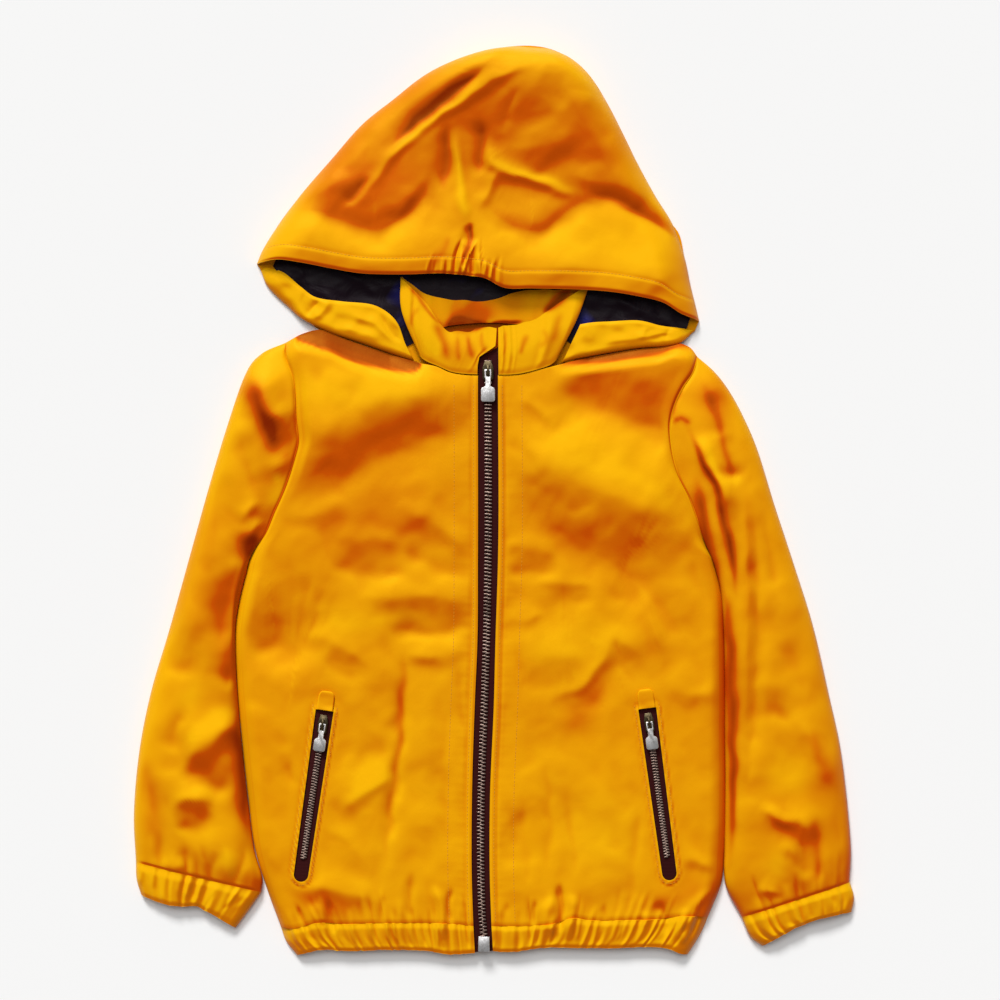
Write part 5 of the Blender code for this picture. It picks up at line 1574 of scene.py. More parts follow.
@dataclass
class HemBand:
    """Gathered band along the lower edge of one front half.

    Attributes:
        side: left or right as seen from above.
        across: steps from the side to the zip.
        rows: rows from the seam to the edge.
        height: height of its upper side.
    """

    side: Side
    across: int = 240
    rows: int = 20
    height: float = 9.8

    def build(self, finishes: Finishes, panel: FrontPanel) -> None:
        """Makes the band below its front panel.

        Args:
            finishes: the coat's materials.
            panel: the front panel above it.
        """
        name = self.side.value
        at = np.unique(np.concatenate([np.linspace(0, 1, self.across), EDGE_STATIONS]))
        shares = spread(self.rows, 0.06)
        plan = patch(along(HEM_SEAM[name], at), along(HEM_EDGE[name], at), along(HEM_SIDE[name], shares),
                     along(HEM_CENTRE[name], shares), shares)
        panel_grid = panel.grid()
        seam = np.interp(at, panel.columns(), panel_grid[-1, :, 2])
        from_side = gap(plan, plan[:, :1])
        down = shares[:, None]
        body = seam + (self.height - seam) * smooth(down, 0.0, 0.9)
        past = gap(plan, plan[:1])
        ruffle = panel.gathers(at[None], past) + folded(plan, HEM_FOLDS)
        grown = ruffle * (1 + 0.4 * smooth(down, 0.3, 1.0)) + 0.5 * smooth(down, 0.0, 0.2)
        low = CLOTH.lowest_edge
        height = low + (body + grown - low) * roll(from_side, CLOTH.roll)
        height[0] = seam
        height -= 0.9 * smooth(down, 0.86, 1.0) * smooth(from_side, 0.0, 8.0)
        plan[..., 1] += 0.8 * ruffle * smooth(down, 0.5, 1.0) - 0.3 * down
        grid = np.dstack([plan, height])
        # painted light: the band is painted a little lighter
        piece = cloth_piece(f"hem_band_{name}", grid, inner_of(grid, low=1.35), finishes.cotton,
                            shade=-0.25)
        lay(piece, [f"hem_band_{name}"])


@dataclass
class LowerLayer:
    """The layers that lie flat on the table: back panel, back hem band, hood underside and hood lining.

    Attributes:
        columns: points along each outline.
        top_height: height of their upper side.
    """

    columns: int = 150
    top_height: float = 1.2

    def flat(self, name: str, top: Array, bottom: Array, finish: Finish, rows: int = 30) -> None:
        """A flat wall between two lines, with a slightly uneven upper side.

        Args:
            name: its name.
            top: first row.
            bottom: last row.
            finish: its material.
            rows: number of rows.
        """
        plan = between_lines(top, bottom, rows)
        outer = np.dstack([plan, self.top_height + rumple(plan, 21, 40.0, 0.06)])
        inner = np.dstack([plan, np.zeros(plan.shape[:2])])
        lay(cloth_piece(name, outer, inner, finish), [name])

    def build(self, finishes: Finishes) -> None:
        """Makes the four pieces.

        Args:
            finishes: the coat's materials.
        """
        at = np.linspace(0, 1, self.columns)
        left, right = Side.LEFT.value, Side.RIGHT.value
        neck = along(BACK_NECK, np.linspace(0, 1, 60))
        shoulder = {s: along(SHOULDER[s], np.linspace(0, 0.66, 60)) for s in (left, right)}
        sides = {s: np.concatenate([along(ARMHOLE[s], at), along(SIDE[s], at)[1:]]) for s in (left, right)}
        top = np.concatenate([shoulder[left], neck, shoulder[right][::-1]])
        hem = np.concatenate([along(HEM_SEAM[left], at), along(HEM_SEAM[right], at[::-1])])
        edge = np.concatenate([along(HEM_EDGE[left], at), along(HEM_EDGE[right], at[::-1])])
        plan_rows = 40
        first, last = (self.resample(sides[s], plan_rows) for s in (left, right))
        plan = patch(self.resample(top, 110), self.resample(hem, 110), first, last,
                     np.linspace(0, 1, plan_rows))
        outer = np.dstack([plan, self.top_height + rumple(plan, 22, 50.0, 0.05)])
        inner = np.dstack([plan, np.zeros(plan.shape[:2])])
        # painted shade: the back panel is dark red inside the neck, where it shows through the collar's
        # slit; its underside is painted no deeper than 0.5
        back = cloth_piece("back_panel", outer, inner, finishes.cotton,
                           shade=1.8 * smooth(plan[..., 1], 118.0, 124.0), inner_shade=0.5)
        lay(back, ["back_panel"])
        inset = self.resample(hem, 220) - (0, 0.3)
        self.flat("hem_band_back", inset, self.resample(edge, 220), finishes.cotton, rows=8)
        self.under(finishes)
        upper = along(LINING[:8], np.linspace(0, 1, 120))
        lower = along([*LINING[8:]][::-1], np.linspace(0, 1, 120))
        self.lining(upper, lower, finishes)

    def under(self, finishes: Finishes) -> None:
        """The hood's lower layer, from its crown to the shoulders and the neck.

        Args:
            finishes: the coat's materials.
        """
        left, right = Side.LEFT.value, Side.RIGHT.value
        shoulder = {s: along(SHOULDER[s], np.linspace(start, 0.66, 50))
                    for s, start in UNDER_SHOULDER.items()}
        neck = along(BACK_NECK, np.linspace(0, 1, 60))
        corner = sections([row[:2] for row in HOOD_STRIP[left][:4]], np.linspace(0, 1, 20))
        lower = np.concatenate([corner, shoulder[left], neck, shoulder[right][::-1],
                                [HOOD_STRIP[right][-1][:2]]]) + (0, 0.3)
        crown = along(HOOD_OUTLINE, np.linspace(0, 1, 140))
        self.flat("hood_under", crown, self.resample(lower, 140), finishes.cotton)

    def lining(self, upper: Array, lower: Array, finishes: Finishes) -> None:
        """The navy lining that shows in the hood's opening, laid in soft folds.

        Args:
            upper: its edge under the brim.
            lower: its edge at the neck.
            finishes: the coat's materials.
        """
        rows = 60
        plan = between_lines(upper, lower, rows)
        shares = np.linspace(0, 1, rows)
        edge = np.minimum(shares, 1 - shares)[:, None] * 8
        beside = gap(plan, np.array((-4.0, 155.2)))
        free = smooth(edge) * smooth(beside, 60.0, 84.0)
        height = 2.5 + free * (1.6 + rumple(plan, 31, 30.0, 1.0) + rumple(plan, 32, 12.0, 0.4))
        height += free * folded(plan, LINING_FOLDS)
        outer = np.dstack([plan, height])
        inner = np.dstack([plan, np.full(plan.shape[:2], 1.55)])
        lay(cloth_piece("hood_lining", outer, inner, finishes.lining), ["hood_lining"])

    @staticmethod
    def resample(line: Array, count: int) -> Array:
        """A line at even lengths.

        Args:
            line: the line's points.
            count: number of points.

        Returns:
            The new points.
        """
        places = column_shares(line)
        at = np.linspace(0, 1, count)
        return np.stack([np.interp(at, places, line[:, k]) for k in range(line.shape[1])], axis=1)


def underside(s: Array) -> Array:
    """Height of the lower half of a tube lying flat."""
    return CLOTH.fold_height * (1 - dome(s, 16))


def tube(plan: Array, top: Array, bottom: Array) -> Array:
    """A flat-lying tube as one ring of columns, over the top and back below.

    Args:
        plan: plan points of the upper side.
        top: height of the upper side.
        bottom: height of the lower side.

    Returns:
        The ring's points.
    """
    over = np.dstack([plan, top])
    under = np.dstack([plan, bottom])[:, -2:0:-1]
    return np.concatenate([over, under], axis=1)


@dataclass
class Sleeve:
    """A sleeve with its gathered cuff.

    Attributes:
        side: left or right as seen from above.
        across: steps over the upper side.
        rows: rows from the armhole to the cuff.
        cuff_across: steps over the cuff's upper side.
        cuff_rows: rows of the cuff.
        seam_dip: depth of the seams at the armhole and the cuff.
        seam: height of the sleeve's last row, known after body().
        seam_at: stations of that row.
    """

    side: Side
    across: int = 68
    rows: int = 168
    cuff_across: int = 130
    cuff_rows: int = 22
    seam_dip: float = 0.9
    seam: Array = field(init=False)
    seam_at: Array = field(init=False)

    def stations(self, count: int) -> Array:
        """Stations across, closer near both folded edges."""
        even = np.linspace(0, 1, count)
        return 0.72 * even + 0.28 * (0.5 - 0.5 * np.cos(np.pi * even))

    def plan(self, at: Array, down: Array) -> tuple[Array, Array]:
        """Plan grid of the sleeve's upper side and the height of each row.

        Args:
            at: stations across.
            down: stations from the armhole to the cuff.

        Returns:
            The grid and the heights.
        """
        name = self.side.value
        table = sections(SLEEVE[name], down)
        s = at[None, :, None]
        seam = along(ARMHOLE[name], at)
        bow = seam - (seam[0] + (seam[-1] - seam[0]) * at[:, None])
        plan = table[:, None, 0:2] * (1 - s) + table[:, None, 2:4] * s + table[:, None, 4:5] * bow[None]
        end = along([CUFF_OUTER[name][0], CUFF_INNER[name][0]], at)
        late = smooth(down, 0.93, 1.0)[:, None, None]
        return plan * (1 - late) + (end[None] + plan - plan[-1:]) * late, table[:, 5]

    def gathers(self, at: Array, down: Array) -> Array:
        """Height of the cuff's gathers, at shares along its seam and distances past it."""
        return gathered(104.0 * at, down, 16 + len(self.side.value), 20, 0.85, (5.0, 34.0))

    def body(self, finishes: Finishes) -> None:
        """Makes the sleeve's tube.

        Args:
            finishes: the coat's materials.
        """
        name = self.side.value
        at, down = self.stations(self.across), spread(self.rows, 0.012)
        plan, height = self.plan(at, down)
        across = gap(plan, plan[:, :1])
        edge = np.minimum(across, gap(plan, plan[:, -1:]))
        from_seam = gap(plan, plan[:1])
        from_cuff = gap(plan, plan[-1:])
        calm = smooth(edge, 0.0, 10.0)
        rise = height[:, None] + calm * (folded(plan, SLEEVE_FOLDS[name]) + rumple(plan, 11, 60.0, 0.5)
                                         + rumple(plan, 12, 22.0, 0.08))
        rise += self.gathers(at[None], -from_cuff)
        low = CLOTH.fold_height
        top = low + (rise - low) * dome(at)[None]
        top -= self.seam_dip * (bell(from_seam, 1.5) + bell(from_cuff, 1.5)) * calm
        bottom = np.tile(underside(at), (len(down), 1))
        grid = tube(plan, top, bottom)
        grid[..., 2] = np.maximum(grid[..., 2], 0.0)
        below = np.zeros((len(down), grid.shape[1] - len(at)))
        # painted shade and light on the sleeve's upper side, from its table
        shade = np.concatenate([folded(plan, SLEEVE_PAINTED_SHADE_AND_LIGHT[name]), below], 1)
        piece = cloth_piece(f"sleeve_{name}", grid, inner_of(grid, True), finishes.cotton, ring=True,
                            shade=shade)
        self.seam, self.seam_at = top[-1], at
        lay(piece, [f"sleeve_{name}"])

    def cuff(self, finishes: Finishes) -> None:
        """Makes the gathered cuff beyond the sleeve.

        Args:
            finishes: the coat's materials.
        """
        name = self.side.value
        at, shares = self.stations(self.cuff_across), spread(self.cuff_rows, 0.06)
        line = along([CUFF_OUTER[name][0], CUFF_INNER[name][0]], at)
        plan = patch(line, along(CUFF_EDGE[name], at), along(CUFF_OUTER[name], shares),
                     along(CUFF_INNER[name], shares), shares)
        down = shares[:, None]
        ruffle = self.gathers(at[None], gap(plan, plan[:1]))
        body = np.interp(at, self.seam_at, self.seam)[None] + 0.9 * smooth(down, 0.0, 0.25) - 1.8 * down
        top = body + dome(at)[None] * ruffle * (1 + 0.3 * down)
        top -= 0.9 * smooth(down, 0.86, 1.0) * dome(at)[None]
        bottom = np.tile(underside(at), (len(shares), 1))
        plan[..., 1] += 0.8 * ruffle * smooth(down, 0.5, 1.0) * dome(at)
        grid = tube(plan, np.maximum(top, bottom + 0.02), bottom)
        # painted light: the cuff is painted a little lighter
        piece = cloth_piece(f"cuff_{name}", grid, inner_of(grid, True), finishes.cotton, ring=True,
                            shade=-0.3)
        lay(piece, [f"cuff_{name}"])


@dataclass
class Hood:
    """The hood's upper layer and its brim casing.

    Attributes:
        across: steps from side to side.
        rows: rows from the brim's seam to the crown.
        brim_rows: rows of the brim casing.
        seam: share of the way from the brim to the crown at which the casing ends.
        roll: width over which the hood rolls down at its sides.
        puff: height of the brim's gathers.
        gather_at: share of the brim's length at the gathers' middle.
        seam_dip: depth of the casing's seam.
        brim: outer points of the casing, known after build().
    """

    across: int = 230
    rows: int = 125
    brim_rows: int = 22
    seam: float = 0.105
    roll: float = 34.0
    puff: float = 2.6
    gather_at: float = 0.462
    seam_dip: float = 0.12
    brim: Array = field(init=False)

    def grid(self, at: Array, down: Array) -> Array:
        """Outer points at the stations.

        Args:
            at: stations across.
            down: stations from the brim to the crown.

        Returns:
            Rows and columns of points.
        """
        table = sections(HOOD, down)
        left, right = table[:, None, 0:2], table[:, None, 2:4]
        brim = along(BRIM_EDGE, at)
        bow = brim - (brim[0] + (brim[-1] - brim[0]) * at[:, None])
        s = at[None, :, None]
        plan = left * (1 - s) + right * s + table[:, None, 4:5] * bow[None]
        near = gap(plan, np.where(s < 0.5, plan[:, :1], plan[:, -1:]))
        calm = smooth(near, 1.0, 14.0) * smooth(1 - down, 0.0, 0.12)[:, None]
        rise = table[:, 5:6] + folded(plan, HOOD_FOLDS) * (0.25 + 0.75 * calm)
        rise += calm * (rumple(plan, 41, 60.0, 0.5) + rumple(plan, 42, 22.0, 0.08))
        from_brim = gap(plan, along(BRIM_EDGE, at)[None])
        rise += self.gather(at, from_brim)
        narrow = np.minimum(self.roll, 0.5 * near.max(axis=1))[:, None]
        crown = roll(1.0 - down, 0.3)[:, None]
        low = CLOTH.lowest_edge
        return np.dstack([plan, low + (rise - low) * roll(near, narrow) * crown])

    def gather(self, at: Array, away: Array) -> Array:
        """Height of the brim's gathers at its middle, at distances from its edge.

        Args:
            at: stations across.
            away: distance from the brim's edge.

        Returns:
            Height at each point.
        """
        middle = np.clip(1 - np.abs(at - self.gather_at) / 0.095, 0, 1) ** 0.7
        return self.puff * middle[None] * gathered(360.0 * at[None], 16.0 - away, 7, 100, 1.0, (1.0, 18.0),
                                                  (9.0, 16.0), 0.55)

    def build(self, finishes: Finishes) -> None:
        """Makes both pieces.

        Args:
            finishes: the coat's materials.
        """
        even = np.linspace(0, 1, self.across)
        at = np.unique(np.concatenate([0.86 * even + 0.14 * (0.5 - 0.5 * np.cos(np.pi * even)),
                                       np.linspace(0.36, 0.60, 60)]))
        share = np.linspace(0, 1, self.rows)
        down = self.seam + (1 - self.seam) * (0.75 * share + 0.25 * np.sin(share * np.pi / 2))
        down[-4:] = [0.985, 0.992, 0.9975, 1.0]
        down = np.sort(down)
        upper = self.grid(at, down)
        from_seam = np.linalg.norm(upper[..., :2] - upper[:1, :, :2], axis=-1)
        upper[..., 2] -= self.seam_dip * bell(from_seam, 1.5) * smooth(upper[..., 2], 3.0, 8.0)
        brim_down = spread(self.brim_rows, 0.04) * self.seam
        brim = self.grid(at, brim_down)
        from_seam = np.linalg.norm(brim[..., :2] - upper[:1, :, :2], axis=-1)
        from_edge = np.linalg.norm(brim[..., :2] - brim[:1, :, :2], axis=-1)
        inside = smooth(brim[..., 2], 3.0, 8.0)
        brim[..., 2] += inside * (0.25 * smooth(from_seam, 0, 3.0) - 0.9 * bell(from_edge, 1.4))
        brim[-1] = upper[0]
        self.brim = brim
        # painted shade and light from the hood's table, such as the deeper crown and the lighter brim
        casing = cloth_piece("brim_casing", brim, self.inner(brim), finishes.cotton,
                             shade=folded(brim[..., :2], HOOD_PAINTED_SHADE_AND_LIGHT))
        crown = cloth_piece("hood_upper", upper, self.inner(upper), finishes.cotton,
                            shade=folded(upper[..., :2], HOOD_PAINTED_SHADE_AND_LIGHT))
        lay(crown, ["hood_upper"])
        lay(casing, ["brim_casing"])

    def inner(self, grid: Array) -> Array:
        """The other side, kept inside the hood's outline.

        Args:
            grid: outer points.

        Returns:
            The matching inner points.
        """
        found = inner_of(grid, low=0.3)
        found[..., 2] = np.maximum(found[..., 2], np.minimum(1.35, grid[..., 2] - 0.1))
        return found


@dataclass
class Strip:
    """The turned-up edge of the hood's opening beside the neck.

    Attributes:
        side: left or right as seen from above.
        across: steps from its outer edge to its free one.
        roll: width over which it rises beside the body.
        edge_height: height of its outer edge beside the body.
        overlap: how far it lies over the panel's shoulder edge.
    """

    side: Side
    across: int = 26
    roll: float = 4.5
    edge_height: float = 4.6
    overlap: float = 1.2

    def build(self, finishes: Finishes) -> None:
        """Makes the strip; it lies just over the panel's shoulder edge.

        Args:
            finishes: the coat's materials.
        """
        name = self.side.value
        count = 150 if self.side is Side.LEFT else 110
        share = spread(count, 0.02)
        table = sections(HOOD_STRIP[name], share)
        s = np.unique(np.concatenate([[0, 0.01, 0.03, 0.06, 0.1], np.linspace(0, 1, self.across)]))
        plan = table[:, None, 0:2] * (1 - s[None, :, None]) + table[:, None, 2:4] * s[None, :, None]
        away = gap(plan, plan[:, :1])
        free = gap(plan, plan[:, -1:])
        on_body = self.beside_body(share)[:, None]
        low = CLOTH.lowest_edge + (self.edge_height - CLOTH.lowest_edge) * on_body
        creases = folded(plan, STRIP_FOLDS) + rumple(plan, 51, 22.0, 0.35)
        rise = table[:, 4:5] + smooth(away, 0, 8) * creases
        rise -= 0.9 * bell(free, 1.4)
        height = low + (rise - low) * roll(away, self.roll + 4.5 * (1 - on_body))
        shift = plan[:, :1] - plan[:, -1:]
        shift /= np.maximum(np.linalg.norm(shift, axis=-1, keepdims=True), 1e-6)
        plan = plan + shift * self.overlap * on_body[..., None] * smooth(1 - away / 12.0)[..., None]
        grid = np.dstack([plan, height])
        # painted light: the strip is painted lighter
        piece = cloth_piece(f"hood_{name}_edge", grid, inner_of(grid, low=1.5), finishes.cotton, shade=-0.4)
        lay(piece, [f"hood_{name}_edge"])

    def beside_body(self, share: Array) -> Array:
        """1 where the strip lies against the body's shoulder, 0 near the hood's corner.

        Args:
            share: share of the strip's length.

        Returns:
            A value for each share.
        """
        if self.side is Side.LEFT:
            return smooth(share, 0.30, 0.46)
        return 1 - smooth(share, 0.8, 0.98)


@dataclass
class Collar:
    """The standing collar, pleated upright, round the neck opening.

    Attributes:
        columns: steps round the neck.
        rows: rows from the seam to the top edge.
        pleats: number of seeded pleats.
    """

    columns: int = 240
    rows: int = 28
    pleats: int = 24

    def build(self, finishes: Finishes) -> None:
        """Makes the collar.

        Args:
            finishes: the coat's materials.
        """
        table = np.array(COLLAR)
        lines = [table[:, 0:3], table[:, 3:6], table[:, 6:9]]
        share = spread(self.rows, 0.05)
        rough = np.stack([at_knots(np.array([0.0, 0.5, 1.0]), np.stack([line[i] for line in lines]), share)
                          for i in range(len(table))], axis=1)
        notch = np.array(COLLAR_NOTCH)
        rough[:, 0, :2] = np.stack([np.interp(share, np.linspace(0, 1, len(notch)), notch[:, k])
                                    for k in (0, 1)], axis=1)
        knots = np.linspace(0, 1, len(table))
        at = spread(self.columns, 0.004)
        grid = np.stack([at_knots(knots, row, at) for row in rough])
        random = np.random.default_rng(61)
        marks = np.sort(random.uniform(0.01, 0.99, self.pleats))
        depth = random.uniform(-0.9, 1.0, len(marks))
        width = random.uniform(0.004, 0.016, len(marks))
        pleat = np.zeros(len(at))
        for mark, high, wide in zip(marks, depth, width):
            pleat += high * bell(at - mark, wide)
        free = smooth(np.minimum(at, 1 - at), 0.0, 0.02)
        lean = 0.006 * np.sin(share * 3.0)[:, None]
        shape = np.stack([np.interp(at + lean[k, 0], at, pleat * free) for k in range(len(share))])
        out = normals(grid)
        grow = smooth(share, 0.0, 0.5)[:, None]
        grid = grid + out * (shape * (0.45 + 0.55 * grow) * smooth(share, 0.0, 0.12)[:, None])[..., None]
        wave = rumple(np.stack([at * 300, np.zeros(len(at))], axis=-1), 62, 22.0, 1.0) * free
        grid[..., 1] += wave[None] * smooth(share, 0.4, 1.0)[:, None] * 0.9
        grid[..., 2] += 0.35 * smooth(share, 0.0, 0.12)[:, None]
        grid[..., 2] = np.maximum(grid[..., 2], 2.8)
        inner = grid - normals(grid) * CLOTH.wall
        inner[..., 2] = np.maximum(inner[..., 2], 1.5)
        # painted light on the collar's higher part, and painted shade from its table such as the dark slit
        painted_light_above = 0.38 * smooth(grid[..., 2], 4.0, 9.0)
        shade = folded(grid[..., :2], COLLAR_PAINTED_SHADE_AND_LIGHT) - painted_light_above
        lay(cloth_piece("collar", grid, inner, finishes.cotton, sharp=80.0, shade=shade), ["collar"])


@dataclass
class Tab:
    """The small cloth tab over the top of a pocket window, laid on the panel.

    Attributes:
        pocket: the pocket's window.
        columns: points across the tab.
        thick: its thickness.
        clear: its clearance over the panel.
    """

    pocket: PocketOpening
    columns: int = 27
    thick: float = 1.1
    clear: float = 0.35

    def build(self, finishes: Finishes, panel: Array) -> None:
        """Makes the tab above the panel's own surface.

        Args:
            finishes: the coat's materials.
            panel: outer points of the panel.
        """
        tree = surface_tree(panel)
        reach = np.array([-15.6, -15.5, -15.2, -14.6, -13.6, -12.2, -10.5, -8.5, -6.5, -4.5, -2.6, -1.2,
                          -0.5])
        wide = self.pocket.tab_half * np.array([0.45, 0.52, 0.62, 0.74, 0.86, 0.94, 0.98, 1, 1, 1, 1, 1, 1])
        share = np.linspace(-1, 1, self.columns)
        start, run, across = self.pocket.start, self.pocket.run, self.pocket.across
        plan = start + run * reach[:, None, None] + across * (wide[:, None] * share[None])[..., None]
        low = np.array([[self.above(tree, *p) for p in row] for row in plan]) + self.clear
        low = np.maximum(low, low.max(axis=1, keepdims=True) - 0.5)
        bottom = np.dstack([plan, low])
        edge = np.minimum(1 - np.abs(share)[None], (reach - reach[0])[:, None] / 14)
        top = bottom + np.dstack([np.zeros_like(plan), self.thick * (0.55 + 0.45 * roll(edge, 0.16))])
        name = f"pocket_{self.pocket.side.value}_tab"
        lay(cloth_piece(name, top, bottom, finishes.cotton), [name])

    def above(self, tree: BVHTree, x: float, y: float) -> float:
        """Highest point of the panel round a plan point.

        Args:
            tree: ray target of the surface.
            x: plan point.
            y: plan point.

        Returns:
            The height.
        """
        beside = ((0, 0), (1.2, 0), (-1.2, 0), (0, 1.2), (0, -1.2))
        found = [height_on(tree, x + dx, y + dy) for dx, dy in beside]
        return max(h for h in found if h is not None)


def surface_tree(grid: Array) -> BVHTree:
    """A ray target of a grid of points.

    Args:
        grid: rows and columns of points.

    Returns:
        The ray target.
    """
    rows, cols = grid.shape[:2]
    i, j = np.meshgrid(np.arange(rows - 1), np.arange(cols - 1), indexing="ij")
    corner = (i * cols + j).ravel()
    faces = np.stack([corner, corner + cols, corner + cols + 1, corner + 1], 1)
    return BVHTree.FromPolygons([Vector(p) for p in grid.reshape(-1, 3)], faces.tolist())


def height_on(tree: BVHTree, x: float, y: float) -> float | None:
    """Height at which an upright line from above meets the target."""
    hit = tree.ray_cast(Vector((x, y, 80)), Vector((0, 0, -1)))[0]
    return hit.z if hit else None


# Zips and stitches ---------------------------------------------------------------------------------


def node_path(name: str, run: Array) -> Array:
    """Middle line of a strip node's upper side along `run`, in millimetres, from its lower end up.

    Args:
        name: the node's name.
        run: plan direction of the strip.

    Returns:
        The line's points.
    """
    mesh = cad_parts[name].data
    points = np.array([v.co[:] for v in mesh.vertices]) / MM
    along_run = np.round((points[:, :2] @ run) / 0.4).astype(int)
    rows = []
    for key in np.unique(along_run):
        group = points[along_run == key]
        rows.append([*(group[:, :2].min(axis=0) + group[:, :2].max(axis=0)) / 2, group[:, 2].max()])
    rows = np.array(rows)
    return rows[np.argsort(rows[:, 1])]


def curve_of(name: str, lines: list[Array]) -> Piece:
    """A poly curve through each line of points given in millimetres.

    Args:
        name: its name.
        lines: points of each line.

    Returns:
        The curve's object.
    """
    data = bpy.data.curves.new(name, "CURVE")
    data.dimensions = "3D"
    for line in lines:
        spline = data.splines.new("POLY")
        spline.points.add(len(line) - 1)
        spline.points.foreach_set("co", np.column_stack([line * MM, np.ones(len(line))]).ravel())
    return placed(name, data)


def ring_faces(rings: int, sides: int) -> list[tuple[int, ...]]:
    """Faces of a solid between rings of points, with both ends closed.

    Args:
        rings: number of rings.
        sides: points in a ring.

    Returns:
        The point numbers of each face.
    """
    last = rings * sides - 1
    faces = [tuple(range(sides)), tuple(range(last, last - sides, -1))]
    for i in range(rings - 1):
        near, far = i * sides, (i + 1) * sides
        faces += [(near + k, near + (k + 1) % sides, far + (k + 1) % sides, far + k) for k in range(sides)]
    return faces


def block(name: str, points: list[tuple[float, float, float]], faces: list[tuple[int, ...]], bevel: float,
          segments: int = 2) -> Piece:
    """A small bevelled solid, in millimetres.

    Args:
        name: its name.
        points: its corners.
        faces: corner numbers of each face.
        bevel: width of its bevels, 0 for none.
        segments: steps of a bevel.

    Returns:
        The new object.
    """
    mesh = bpy.data.meshes.new(name)
    mesh.from_pydata([tuple(c * MM for c in p) for p in points], [], faces)
    work = bmesh.new()
    work.from_mesh(mesh)
    bmesh.ops.recalc_face_normals(work, faces=work.faces)
    if bevel:
        bmesh.ops.bevel(work, geom=work.edges[:], offset=bevel * MM, segments=segments, affect="EDGES",
                        profile=0.5)
    work.to_mesh(mesh)
    work.free()
    mesh.shade_smooth()
    mesh.set_sharp_from_angle(angle=np.radians(50))
    return placed(name, mesh)


@dataclass
class Repeat:
    """Copies of one small form along curves, laid out by a geometry node tree.

    Attributes:
        name: name of the tree.
        axis: the form's axis that follows the curve.
    """

    name: str
    axis: str = "Y"
    tree: bpy.types.NodeTree = field(init=False)

    def __post_init__(self) -> None:
        """Builds the node tree with its named inputs."""
        tree = bpy.data.node_groups.new(self.name, "GeometryNodeTree")
        face = tree.interface
        for name, kind in (("Geometry", "Geometry"), ("Form", "Object"), ("Pitch", "Float"),
                           ("Unevenness", "Float"), ("Finish", "Material")):
            face.new_socket(name, in_out="INPUT", socket_type=f"NodeSocket{kind}")
        face.new_socket("Geometry", in_out="OUTPUT", socket_type="NodeSocketGeometry")
        start = tree.nodes.new("NodeGroupInput")
        end = tree.nodes.new("NodeGroupOutput")
        points = tree.nodes.new("GeometryNodeCurveToPoints")
        points.mode = "LENGTH"
        turn = tree.nodes.new("FunctionNodeAlignRotationToVector")
        turn.axis = self.axis
        info = tree.nodes.new("GeometryNodeObjectInfo")
        copies = tree.nodes.new("GeometryNodeInstanceOnPoints")
        random = tree.nodes.new("FunctionNodeRandomValue")
        random.data_type = "FLOAT"
        seed = next(s for s in random.inputs if s.name == "Seed" and s.enabled)
        seed.default_value = 12
        low, high = (next(s for s in random.inputs if s.name == k and s.enabled) for k in ("Min", "Max"))
        less, more = tree.nodes.new("ShaderNodeMath"), tree.nodes.new("ShaderNodeMath")
        less.operation, more.operation = "SUBTRACT", "ADD"
        less.inputs[0].default_value = more.inputs[0].default_value = 1.0
        real = tree.nodes.new("GeometryNodeRealizeInstances")
        coat = tree.nodes.new("GeometryNodeSetMaterial")
        for output, slot in (
            (start.outputs["Geometry"], points.inputs["Curve"]),
            (start.outputs["Pitch"], points.inputs["Length"]),
            (start.outputs["Form"], info.inputs["Object"]),
            (start.outputs["Unevenness"], less.inputs[1]),
            (start.outputs["Unevenness"], more.inputs[1]),
            (less.outputs[0], low),
            (more.outputs[0], high),
            (points.outputs["Points"], copies.inputs["Points"]),
            (points.outputs["Tangent"], turn.inputs["Vector"]),
            (turn.outputs[0], copies.inputs["Rotation"]),
            (info.outputs["Geometry"], copies.inputs["Instance"]),
            (next(s for s in random.outputs if s.enabled), copies.inputs["Scale"]),
            (copies.outputs[0], real.inputs[0]),
            (real.outputs[0], coat.inputs["Geometry"]),
            (start.outputs["Finish"], coat.inputs["Material"]),
            (coat.outputs[0], end.inputs[0]),
        ):
            tree.links.new(output, slot)
        self.tree = tree

    def made(self, name: str, lines: list[Array], form: Piece, pitch: float,
             finish: Finish, uneven: float = 0.0) -> Piece:
        """Lays the copies along the lines and returns one plain mesh object.

        Args:
            name: its name.
            lines: points of each line.
            form: the small form.
            pitch: step between copies.
            finish: its material.
            uneven: share by which their sizes differ.

        Returns:
            The new object.
        """
        host = placed(name, bpy.data.meshes.new(name))
        guide = curve_of(f"{name}_guide", lines)
        change = guide.modifiers.new("repeat", "NODES")
        change.node_group = self.tree
        inputs = {"Form": form, "Pitch": pitch * MM, "Unevenness": uneven, "Finish": finish}
        for item in self.tree.interface.items_tree:
            if item.in_out == "INPUT" and item.name in inputs:
                change[item.identifier] = inputs[item.name]
        bpy.context.view_layer.update()
        graph = bpy.context.evaluated_depsgraph_get()
        host.data = bpy.data.meshes.new_from_object(guide.evaluated_get(graph))
        guide.modifiers.clear()
        bpy.data.objects.remove(guide, do_unlink=True)
        host.data.materials.clear()
        host.data.materials.append(finish)
        host.data.polygons.foreach_set("material_index", [0] * len(host.data.polygons))
        LOG.info("%s: %d faces", name, len(host.data.polygons))
        return host


